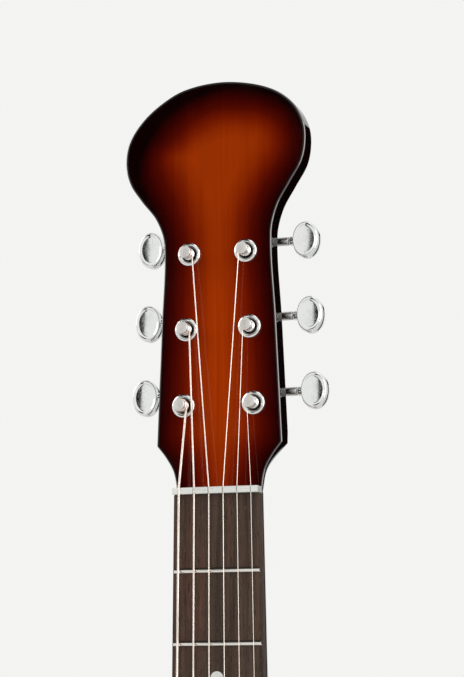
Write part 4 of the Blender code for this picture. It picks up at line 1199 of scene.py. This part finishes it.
class SITAR_OT_tuner_plates(bpy.types.Operator):
    """Folds a cover over each gear and screws each side's plate to the headstock"""
    bl_idname = "sitar.tuner_plates"
    bl_label = "Tuner plates"

    def cover(self, side, x, z, back):
        wall = COVER_WALL
        low = Vector((x - COVER_HALF_WIDTH, back - 0.0004, z + COVER_Z[0]))
        high = Vector((x + COVER_HALF_WIDTH, COVER_BACK, z + COVER_Z[1]))
        shell = block("shell", low, high, 0.0011, 4)
        hollow = block("hollow", low + Vector((wall, -0.002, wall)), high - Vector((wall, wall, wall)), 0.0005, 1)
        start = (x + side * 0.0060, SHAFT_Y, z + WORM_OFFSET)
        return cut(shell, hollow, rod("shaft_hole", COLLAR_RADIUS + 0.0002, start, 0.003, (side, 0, 0)))

    def execute(self, context):
        back = HEAD_BACK + GAP + PLATE_THICKNESS
        for name, side in (("left", -1), ("right", 1)):
            posts = [post_place(side, row) for row in range(3)]
            (x_top, z_top), (x_low, z_low) = posts[0], posts[-1]
            lean = (x_low - x_top) / (z_low - z_top)
            low, high, half = z_low + PLATE_Z[0], z_top + PLATE_Z[1], COVER_HALF_WIDTH
            corners = [(x_top + (z - z_top) * lean + offset, z, PLATE_CORNER)
                       for z, offset in ((high, half), (low, half), (low, -half), (high, -half))]
            outline = rounded([(x_top + (high - z_top) * lean, high), *corners], 6, loop=True)
            holes = [circle(place, POST_RADIUS + GAP) for place in posts]
            strip = plate(f"strip_{name}", outline, HEAD_BACK + 0.00003, back, 0.0002, holes)
            covers = [self.cover(side, x, z, back) for x, z in posts]
            spots = [(x_top + (z - z_top) * lean, back - SEAT, z)
                     for z in (z_top + 0.0140, z_top - 0.0161, z_top - 0.0161 + POST_STEP[1], z_low - 0.0103)]
            heads = screws(f"heads_{name}", screw_head(0.0021, 0.0010, 0.0005), spots, BACK)
            piece = joined(f"machine_plate_{name}", strip, *covers, heads)
            finished(piece, "chrome", f"tuner_plate_{name}", angle=35, flat_faces=True)
        return {"FINISHED"}


# Body

def body_outline():
    second, last = BODY_HALF[1], BODY_HALF[-2]
    half = smooth_curve(BODY_HALF, 10, before=(-second[0], second[1]), after=(-last[0], last[1]))
    return half + [(-x, z) for x, z in reversed(half) if x > 1e-6]


def control_holes():
    return [circle(place, BUSH_RADIUS + GAP) for place in (*CONTROLS.values(), JACK)]


def pocket_tool(back):
    """The neck's pocket: the heel's tapered outline with a little room round it."""
    room = 0.0001
    above, low = -0.300, FRETBOARD_END - room
    wide, narrow = board_half(above) + room, board_half(FRETBOARD_END) + room
    outline = [(-wide, above), (wide, above), (narrow, low), (-narrow, low)]
    return plate("pocket", outline, -0.020, back, 0.0)


def gridded(obj, pitch):
    """Cuts a piece's faces along an even grid, so that values stored on its points can vary over them."""
    bm = bmesh.new()
    bm.from_mesh(obj.data)
    points = points_of(obj)
    for axis in (0, 2):
        low, high = points[:, axis].min(), points[:, axis].max()
        for place in np.arange(low + pitch / 2, high, pitch):
            spot, way = Vector(), Vector()
            spot[axis], way[axis] = place, 1
            bmesh.ops.bisect_plane(bm, geom=[*bm.verts, *bm.edges, *bm.faces], plane_co=spot, plane_no=way, dist=1e-6)
    bm.to_mesh(obj.data)
    bm.free()


class SITAR_OT_body(bpy.types.Operator):
    """Saws the lacquered top and back, and wraps the body's edge in tape"""
    bl_idname = "sitar.body"
    bl_label = "Body"

    def board(self, side, outline, low, high, holes=()):
        """Saws one board. Its burst is wider than the headstock's, so its depths are stored shortened."""
        body = settings().body
        obj = plate(f"body_{side}", outline, low, high, body.face_edge, holes)
        if side == "top":
            cut(obj, pocket_tool(BODY_FRONT + SHEET + 0.001))
        gridded(obj, SPRAY_GRID)
        depth = distance_to(outline, points_of(obj)[:, [0, 2]])
        set_value(obj, "spray_depth", depth * settings().finish.spray_width / body.burst_width)
        finished(obj, "lacquered_board", f"{side}_plate", flat_faces=True)

    def execute(self, context):
        outline = body_outline()
        half_x, half_z = PICKUP_SLOT[0] / 2, PICKUP_SLOT[1] / 2
        slot = rectangle((-half_x, PICKUP_Z - half_z), (half_x, PICKUP_Z + half_z), 0.003)
        tilt = [circle((side * TILT_SCREW[0], TILT_SCREW[1]), 0.0036) for side in (-1, 1)]
        thick = SHEET + 0.0002
        self.board("top", outline, BODY_FRONT, BODY_FRONT + thick, [slot, *control_holes(), *tilt])
        self.board("back", outline, BODY_BACK - thick, BODY_BACK)
        tape = plate("edge_tape", inset(outline, -GAP - TRIM_THICKNESS), BODY_FRONT + 0.0004, BODY_BACK - 0.0004,
                     holes=[inset(outline, -SEAT)])
        cut(tape, pocket_tool(NECK_FRONT + NECK_DEPTHS[0][1] + GAP))
        finished(tape, "trim", "edge_trim")
        return {"FINISHED"}


class SITAR_OT_pickguard(bpy.types.Operator):
    """Cuts the pickguard and screws it down"""
    bl_idname = "sitar.pickguard"
    bl_label = "Pickguard"

    def execute(self, context):
        outline = smooth_curve((*PICKGUARD, PICKGUARD[0]), 10, before=PICKGUARD[-1], after=PICKGUARD[1])[:-1]
        edge = settings().body.guard_edge
        guard = plate("guard", outline, GUARD_FACE, BODY_FRONT - SEAT, edge, control_holes(), steps=3)
        finished(guard, "white_plastic", "pickguard", flat_faces=True)
        line = inset(outline, 0.0055)
        spots = [(line[i][0], GUARD_FACE + SEAT, line[i][1]) for i in range(4, len(line), len(line) // GUARD_SCREWS)]
        finished(screws("guard_screws", screw_head(0.0023, 0.0009, 0.0005), spots, FRONT), "steel")
        return {"FINISHED"}


class SITAR_OT_pickup(bpy.types.Operator):
    """Closes the pickup's chromed tube, with the seam of its cap"""
    bl_idname = "sitar.pickup"
    bl_label = "Pickup"

    def execute(self, context):
        end, radius, seam = PICKUP_HALF_LENGTH, PICKUP_RADIUS, PICKUP_HALF_LENGTH - PICKUP_CAP
        profile = [(0, end), (radius, end, 0.0030), (radius, seam + 0.0002, 0.0001), (radius - 0.0002, seam),
                   (radius, seam - 0.0002, 0.0001), (radius, -end, 0.0030), (0, -end)]
        shell = spun("pickup_shell", profile, (0, PICKUP_Y, PICKUP_Z), RIGHT, 64, 7)
        finished(shell, "chrome", "pickup_tube", "pickup", angle=35)
        return {"FINISHED"}


class SITAR_OT_bridge(bpy.types.Operator):
    """Shapes the broad buzzing bridge, its hinged base and its tilt screws"""
    bl_idname = "sitar.bridge"
    bl_label = "Bridge"

    def board(self):
        (hinge_y, hinge_z), (low, high) = HINGE, BRIDGE_Z
        profile = [(bridge_top(z) - 0.00026, z) for z in (high + (low - high) * i / 24 for i in range(25))]
        for angle in map(math.radians, range(-165, 50, 15)):
            profile.append((hinge_y + HINGE_BARREL_RADIUS * math.cos(angle),
                            hinge_z + HINGE_BARREL_RADIUS * math.sin(angle)))
        profile += [(BRIDGE_UNDERSIDE + 0.0022, low + 0.0065), (BRIDGE_UNDERSIDE, low + 0.0105),
                    (BRIDGE_UNDERSIDE, high)]
        edge = settings().body.bridge_edge
        obj = plate("bridge_board", profile, -BRIDGE_HALF_WIDTH, BRIDGE_HALF_WIDTH, edge, axis="X")
        cut(obj, rod("bore", HINGE_PIN_RADIUS + 0.0001, (-0.05, hinge_y, hinge_z), 0.1, RIGHT))
        finished(obj, "bridge_rosewood", "bridge_plate", "buzz_plate", flat_faces=True)

    def tilt_screws(self):
        x, z, radius, end = TILT_SCREW
        top = bridge_top(z) - GAP
        profile = [(0, 0.0009), (0.0026, 0.0009, 0.0003), (0.0028, 0, 0.0002), (radius, 0), (radius, top - end),
                   (0, top - end)]
        head = spun("tilt_screw", profile, steps=32)
        cut(head, block("slot", (-0.004, -0.00035, 0.0004), (0.004, 0.00035, 0.002), 0.0001, 1))
        pair = screws("tilt_screws", head, [(side * x, top, z) for side in (-1, 1)], FRONT)
        finished(pair, "steel", body="buzz_plate", angle=35)

    def base(self):
        (hinge_y, hinge_z), inside = HINGE, BRIDGE_HALF_WIDTH + GAP
        back, width = BODY_FRONT - SEAT, inside + LUG_WIDTH
        foot = rectangle((-width, BASE_Z[0]), (width, BASE_Z[1]), 0.0020)
        wells = [circle((side * TILT_SCREW[0], TILT_SCREW[1]), 0.0026) for side in (-1, 1)]
        parts = [plate("base_sheet", foot, BODY_FRONT - GAP - BASE_THICKNESS, back, holes=wells)]
        for side in (-1, 1):
            near, far = sorted((side * inside, side * width))
            parts.append(block(f"lug_{side}", (near, hinge_y - 0.0028, hinge_z - 0.0030),
                               (far, back - 0.0010, hinge_z + 0.0030), 0.0006))
        length = 2 * width - 0.001
        pin = [(0, 0), (HINGE_PIN_RADIUS, 0, 0.0003), (HINGE_PIN_RADIUS, length, 0.0003), (0, length)]
        parts.append(spun("pin", pin, (-width + 0.0005, hinge_y, hinge_z), RIGHT, 28))
        finished(joined("hinge_base", *parts), "aluminium", "bridge_base", flat_faces=True)

    def execute(self, context):
        self.board()
        self.tilt_screws()
        self.base()
        return {"FINISHED"}


class SITAR_OT_tailpiece(bpy.types.Operator):
    """Cuts the tailpiece with its string slots and screws it down"""
    bl_idname = "sitar.tailpiece"
    bl_label = "Tailpiece"

    def execute(self, context):
        notches = [(string_x(i, BRIDGE_SPREAD), gauge / 2 + 0.0003, TAIL_STRING_Y + gauge / 2 + 0.00005)
                   for i, gauge in enumerate(GAUGES)]
        outline = comb(TAILPIECE_HALF_WIDTH, lambda x: TAILPIECE_FRONT, BODY_FRONT - SEAT, notches)
        bar = plate("tail_bar", outline, *TAILPIECE_Z, settings().body.tail_edge, axis="Z", steps=3)
        spots = [(side * TAIL_SCREW_X, TAILPIECE_FRONT + SEAT, sum(TAILPIECE_Z) / 2) for side in (-1, 1)]
        heads = screws("tail_screws", screw_head(0.0030, 0.0013, 0.0008), spots, FRONT)
        finished(joined("string_anchor", bar, heads), "chrome", "tailpiece", flat_faces=True)
        return {"FINISHED"}


class SITAR_OT_controls(bpy.types.Operator):
    """Ribs the two knobs, draws their pointers, and fits the output jack with its nut"""
    bl_idname = "sitar.controls"
    bl_label = "Knobs and output jack"

    def ribbed(self, radius, height, depth):
        ring = []
        for i in range(KNOB_RIBS * 6):
            angle = math.tau * i / (KNOB_RIBS * 6)
            wave = 0.5 - 0.5 * math.cos(KNOB_RIBS * angle)
            reach = radius - depth * (1 - wave ** 0.6)
            ring.append((reach * math.cos(angle), reach * math.sin(angle), height))
        return ring

    def knob(self, control, x, z):
        deep, top = settings().body.knob_rib, KNOB_HEIGHT
        # How far the wall stands in, its height and its share of the ribs' depth, from the skirt to the top's dish
        stages = ((0.0004, 0, 0), (0, 0.0004, 0), (0, 0.0015, 0), (0.0005, 0.0020, 0), (0.0009, 0.0023, 1),
                  (0.0012, top - 0.0012, 1), (0.0016, top - 0.0006, 0.4), (0.0022, top - 0.0001, 0), (0.0028, top, 0),
                  (0.0036, top - 0.0002, 0), (0.0040, top - 0.0005, 0))
        grip = lofted(f"grip_{control}", [self.ribbed(KNOB_RADIUS - step, height, deep * share)
                                          for step, height, share in stages])
        radius, depth = KNOB_BORE
        cut(grip, rod("bore", radius, (0, 0, -0.001), depth + 0.001, (0, 0, 1)))
        set_down(grip, (x, KNOB_LOW, z), FRONT)
        finished(grip, "black_plastic", f"{control}_knob", f"{control}_control", angle=30)
        face = KNOB_LOW - top
        line = block(f"pointer_{control}", (x - 0.0005, face + 0.00045, z + 0.0018),
                     (x + 0.0005, face + 0.0007, z + 0.0070), 0.0001, 1)
        finished(line, "pointer_paint", body=f"{control}_control")

    def jack(self):
        (x, z), radius, inside, tip = JACK, BUSH_RADIUS, GUARD_FACE - 0.0115, 0.0036
        sleeve = [(radius - 0.0003, tip), (radius, 0.0033), (radius, inside), (JACK_FLANGE, inside),
                  (JACK_FLANGE, inside - 0.0020), (radius, inside - 0.0020), (radius, JACK_END), (JACK_BORE, JACK_END),
                  (JACK_BORE, 0.0030, 0.0002), (radius - 0.0006, tip, 0.0001)]
        body = spun("jack_sleeve", sleeve, (x, GUARD_FACE, z), FRONT)
        hole, washer_face = [circle(JACK, radius)], GUARD_FACE - 0.0006
        hexagon = circle(JACK, JACK_NUT_RADIUS, 6, math.radians(14))
        nut = plate("jack_nut", hexagon, GUARD_FACE - 0.0024, washer_face, holes=hole, steps=3)
        washer = plate("jack_washer", circle(JACK, 0.0070, 40), washer_face, GUARD_FACE - SEAT, 0.0001, hole)
        finished(joined("jack_fitting", body, nut, washer), "chrome", "output_jack", angle=30, flat_faces=True)

    def execute(self, context):
        for control, (x, z) in CONTROLS.items():
            self.knob(control, x, z)
        self.jack()
        return {"FINISHED"}


class SITAR_OT_fixings(bpy.types.Operator):
    """Fits the neck plate with its four bolts, and the two strap buttons"""
    bl_idname = "sitar.fixings"
    bl_label = "Neck plate and strap buttons"

    def neck_plate(self):
        wide, tall, thick = NECK_PLATE
        face = BODY_BACK + GAP + thick
        outline = rectangle((-wide / 2, NECK_PLATE_Z - tall / 2), (wide / 2, NECK_PLATE_Z + tall / 2),
                            settings().body.plate_corner)
        sheet = plate("bolt_plate", outline, BODY_BACK + SEAT, face, 0.0005, steps=3)
        spots = [(u * BOLT_SPACING[0] / 2, face - SEAT, NECK_PLATE_Z + v * BOLT_SPACING[1] / 2)
                 for u in (-1, 1) for v in (-1, 1)]
        heads = screws("bolt_heads", screw_head(0.0043, 0.0016, 0.0011), spots, BACK)
        finished(joined("neck_fixing", sheet, heads), "chrome", "neck_plate", flat_faces=True)

    def strap_button(self, site, place, way):
        profile = [(0.0030, 0.0115), (0.0045, 0.0115, 0.0006), (0.0062, 0.0100, 0.0008), (0.0058, 0.0085, 0.0006),
                   (0.0035, 0.0065, 0.001), (0.0035, 0.0040, 0.001), (0.0068, 0.0012, 0.0006), (0.0072, -0.0003),
                   (0.0018, -0.0003), (0.0018, -0.0130), (0, -0.0130), (0, 0.0106), (0.0028, 0.0106, 0.0002)]
        button = spun(f"strap_{site}", profile, place, way)
        seat = Vector(place) + Vector(way) * 0.0105
        screw = screws(f"strap_head_{site}", screw_head(0.0027, 0.0009, 0.0006), [seat], way)
        finished(joined(f"strap_post_{site}", button, screw), "chrome", f"strap_button_{site}", angle=35)

    def execute(self, context):
        self.neck_plate()
        middle = (BODY_FRONT + BODY_BACK) / 2
        self.strap_button("end", (0, middle, STRAP_END_Z - TRIM_THICKNESS - 2 * GAP), DOWN)
        self.strap_button("upper", (STRAP_UPPER[0], middle, STRAP_UPPER[1]), LEFT)
        return {"FINISHED"}


class SITAR_OT_inner_parts(bpy.types.Operator):
    """Gives the solids that stay as they are their finishes"""
    bl_idname = "sitar.inner_parts"
    bl_label = "Parts inside"

    def execute(self, context):
        kept = {"plain_wood": ("rim", "centre_block"), "steel": ("reinforcing_bar", "volume_pot", "tone_pot"),
                "brass": ("volume_shaft", "tone_shaft"), "coil": ("pickup_coil",), "cable": ("wiring",)}
        for finish, nodes in kept.items():
            for node in nodes:
                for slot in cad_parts[node].material_slots:
                    slot.material = finish_named(finish)
        return {"FINISHED"}


# Stage

class SITAR_OT_stage(bpy.types.Operator):
    """Sets the camera, the lamps, the flags that keep the gloss dark, the floor and the backdrop"""
    bl_idname = "sitar.stage"
    bl_label = "Stage"

    def lamp(self, name, place, size, power):
        light = bpy.data.lights.new(name, "AREA")
        light.shape, light.size, light.size_y, light.energy = "RECTANGLE", *size, power
        obj = linked(name, light)
        obj.matrix_world = Matrix.Translation(place) @ facing(Vector(place) - Vector(HEAD_MIDDLE))
        return obj

    def flag(self, name, points):
        """A dark card that only reflections see."""
        card = new_piece(name, points, (), [tuple(range(len(points)))])
        finish = Finish(name, Specular_IOR_Level=0.0, Roughness=1.0)
        level = settings().stage.flag_level
        card.data.materials.append(finish.done(finish.mix(finish.noise(4, 3, 0.6), (level,) * 3, (level * 1.2,) * 3)))
        card.visible_camera = card.visible_diffuse = card.visible_shadow = False

    def card(self, name, centre, size):
        """A flag that faces the headstock from some way off."""
        turn = facing(Vector(centre) - Vector(HEAD_MIDDLE)).to_3x3()
        corners = ((-1, -1), (1, -1), (1, 1), (-1, 1))
        self.flag(name, [Vector(centre) + turn @ Vector((u * size[0] / 2, v * size[1] / 2, 0)) for u, v in corners])

    def front_flag(self):
        """The flag that the lacquered face and the fretboard mirror to the camera, and no larger than they need."""
        low, away = -0.13, -1.5
        outline = inset(neck_outline(*neck_edges(low, 2)), -settings().stage.flag_margin)
        eye = Vector((CAMERA[0], 2 * NECK_FRONT - CAMERA[1], CAMERA[2]))
        stretch = (eye.y - away) / (eye.y - NECK_FRONT)
        self.flag("front_flag", [eye + (Vector((x, NECK_FRONT, z)) - eye) * stretch for x, z in outline])

    def floor(self):
        half, low = 6, SOLIDS_BOX[0][2] - 0.0005
        corners = [(-half, -half, low), (half, -half, low), (half, half, low), (-half, half, low)]
        sheet = new_piece("floor", corners, (), [(0, 1, 2, 3)])
        finish = Finish("floor", Specular_IOR_Level=0.2)
        cloud = finish.noise(1.5, 3, 0.5)
        tone = Vector((1, 1, 0.99)) * settings().stage.floor_tone
        colour = finish.mix(cloud, tone, (tone.x * 0.97, tone.x * 0.97, tone.x * 0.965))
        reach = finish.vector("LENGTH", finish.where, out="Value")
        colour = finish.mix(finish.fit(reach, 1.0, 3.2), colour, (0.99, 0.99, 0.985))
        sheet.data.materials.append(finish.done(colour, finish.fit(cloud, 0.3, 0.7, 0.75, 0.85)))

    def backdrop(self):
        """Fills in light from all round, and shows its own colour to the camera, gloss and glass."""
        stage = settings().stage
        world = bpy.data.worlds.new("backdrop")
        bpy.context.scene.world = world
        world.use_nodes = True
        nodes, links = world.node_tree.nodes, world.node_tree.links
        path = nodes.new("ShaderNodeLightPath")
        seen = path.outputs["Is Camera Ray"]
        for ray in ("Is Glossy Ray", "Is Transmission Ray"):
            either = nodes.new("ShaderNodeMath")
            either.operation = "MAXIMUM"
            links.new(seen, either.inputs[0])
            links.new(path.outputs[ray], either.inputs[1])
            seen = either.outputs[0]
        mix = nodes.new("ShaderNodeMix")
        mix.data_type = "RGBA"
        links.new(seen, mix.inputs[0])
        mix.inputs[6].default_value = (stage.fill_level,) * 3 + (1,)
        mix.inputs[7].default_value = (*stage.backdrop_colour, 1)
        links.new(mix.outputs[2], nodes["Background"].inputs["Color"])

    def camera(self):
        camera = bpy.data.cameras.new("camera")
        camera.lens, camera.sensor_width = LENS, 36
        camera.clip_start, camera.clip_end = 0.05, 40
        obj = linked("camera", camera)
        obj.matrix_world = Matrix.Translation(CAMERA) @ Matrix(CAMERA_AXES).transposed().to_4x4()
        bpy.context.scene.camera = obj

    def execute(self, context):
        stage = settings().stage
        self.floor()
        self.backdrop()
        self.front_flag()
        self.card("rear_flag", (0.44, 1.5, 0.15), (0.64, 1.2))
        self.card("roof_flag", (-0.45, -0.53, 1.38), (1.2, 1.2))
        self.lamp("key_lamp", (-1.9, -0.9, 1.1), (1.4, 1.4), stage.key_power)
        self.lamp("fill_lamp", (1.7, -1.5, 0.7), (1.2, 1.6), stage.key_power * 0.5)
        self.lamp("top_lamp", (0.2, -0.6, 2.2), (1.6, 1.0), stage.key_power * 0.35)
        strip = self.lamp("edge_lamp", (1.4, -0.45, 0.3), (0.8, 1.6), stage.edge_power)
        strip.visible_diffuse = False
        self.camera()
        bpy.context.scene.view_settings.view_transform = "Standard"
        return {"FINISHED"}


# Settings and panel

def length_setting(name, default, description):
    return FloatProperty(name=name, description=description, default=default, unit="LENGTH")


def power_setting(name, default, description):
    return FloatProperty(name=name, description=description, default=default, unit="POWER")


def colour_setting(name, default, description):
    return FloatVectorProperty(name=name, description=description, default=default, subtype="COLOR", min=0, max=1)


class NeckSettings(bpy.types.PropertyGroup):
    edge_radius: length_setting("Edge radius", 0.0006, "Rounding of the headstock's front edge")
    dot_radius: length_setting("Dot radius", 0.0032, "Radius of the pearl dots")
    nut_edge: length_setting("Nut edge", 0.0003, "Rounding of the nut's edges")
    left_shade: length_setting("Left shade", 0.0085, "How much deeper the dark spray reaches at the tip's left")
    tip_shade: length_setting("Tip shade", 0.0028, "How much deeper the dark spray reaches at the tip")


class TunerSettings(bpy.types.PropertyGroup):
    cup_depth: length_setting("Cup height", 0.0001, "Height of the bottom of the bushings' cone")
    button_width: length_setting("Button width", 0.0132, "Buttons' size across")
    button_length: length_setting("Button length", 0.0180, "Buttons' size up and down")
    button_thickness: length_setting("Button thickness", 0.0064, "Buttons' size from front to back")
    dish_depth: length_setting("Dish depth", 0.00028, "Depth of the hollow in a button's face")


class BodySettings(bpy.types.PropertyGroup):
    face_edge: length_setting("Face edge", 0.0006, "Rounding of the top's and back's edges")
    burst_width: length_setting("Burst width", 0.075, "Width of the body's sprayed edge")
    guard_edge: length_setting("Guard edge", 0.0007, "Rounding of the pickguard's edge")
    bridge_edge: length_setting("Bridge edge", 0.0005, "Rounding of the bridge's ends")
    tail_edge: length_setting("Tailpiece edge", 0.0006, "Rounding of the tailpiece's ends")
    knob_rib: length_setting("Knob rib", 0.0004, "Depth of the knobs' ribs")
    plate_corner: length_setting("Plate corner", 0.004, "Radius of the neck plate's corners")


class FinishSettings(bpy.types.PropertyGroup):
    spray_width: length_setting("Spray width", 0.035, "Width of the headstock's sprayed edge")
    edge_colour: colour_setting("Burst edge", (0.0040, 0.0004, 0.0003), "Colour of the sprayed edge")
    middle_colour: colour_setting("Burst middle", (0.320, 0.031, 0.0008), "Colour of the lacquer's middle")
    low_glow: FloatProperty(name="Low glow", description="How much brighter the burst is below the headstock's bulb",
                            default=1.17, min=0)
    wood_dark: colour_setting("Rosewood dark", (0.024, 0.0115, 0.0068), "Rosewood's dark streaks")
    wood_light: colour_setting("Rosewood light", (0.092, 0.049, 0.030), "Rosewood's light streaks")


class StageSettings(bpy.types.PropertyGroup):
    key_power: power_setting("Key power", 17.0, "Power of the main lamp")
    edge_power: power_setting("Edge power", 11.0, "Power of the strip that the gloss edges mirror")
    fill_level: FloatProperty(name="Fill level", description="Light from all round", default=0.68, min=0)
    flag_level: FloatProperty(name="Flag level", description="How bright the dark flags are", default=0.004, min=0)
    flag_margin: length_setting("Flag margin", 0.003, "How far the front flag reaches past the headstock")
    floor_tone: FloatProperty(name="Floor tone", description="How pale the floor is", default=0.82, min=0, max=1)
    backdrop_colour: colour_setting("Backdrop", (0.90, 0.90, 0.89), "Colour behind the object")


class SitarSettings(bpy.types.PropertyGroup):
    neck: PointerProperty(type=NeckSettings)
    tuners: PointerProperty(type=TunerSettings)
    body: PointerProperty(type=BodySettings)
    finish: PointerProperty(type=FinishSettings)
    stage: PointerProperty(type=StageSettings)


OPERATORS = (SITAR_OT_neck, SITAR_OT_fretboard, SITAR_OT_frets, SITAR_OT_nut, SITAR_OT_strings, SITAR_OT_posts,
             SITAR_OT_shafts, SITAR_OT_buttons, SITAR_OT_tuner_plates, SITAR_OT_body, SITAR_OT_pickguard,
             SITAR_OT_pickup, SITAR_OT_bridge, SITAR_OT_tailpiece, SITAR_OT_controls, SITAR_OT_fixings,
             SITAR_OT_inner_parts, SITAR_OT_stage)


class SITAR_PT_panel(bpy.types.Panel):
    """The sitar's settings, and a button for each of its operators"""
    bl_idname = "SITAR_PT_panel"
    bl_label = "Electric Sitar"
    bl_space_type = "VIEW_3D"
    bl_region_type = "UI"
    bl_category = "Sitar"

    def draw(self, context):
        layout = self.layout
        for name in ("neck", "tuners", "body", "finish", "stage"):
            group = getattr(context.scene.sitar, name)
            box = layout.box()
            box.label(text=name.capitalize())
            for key in group.bl_rna.properties.keys():
                if key not in ("rna_type", "name"):
                    box.prop(group, key)
        for operator in OPERATORS:
            layout.operator(operator.bl_idname)


GROUPS = (NeckSettings, TunerSettings, BodySettings, FinishSettings, StageSettings, SitarSettings)
CLASSES = (*GROUPS, *OPERATORS, SITAR_PT_panel)


def register():
    for item in CLASSES:
        bpy.utils.register_class(item)
    bpy.types.Scene.sitar = PointerProperty(type=SitarSettings)


def unregister():
    del bpy.types.Scene.sitar
    for item in reversed(CLASSES):
        bpy.utils.unregister_class(item)


def main():
    register()
    for operator in OPERATORS:
        group, name = operator.bl_idname.split(".")
        getattr(getattr(bpy.ops, group), name)()
    deselect()


if __name__ == "__main__":
    main()
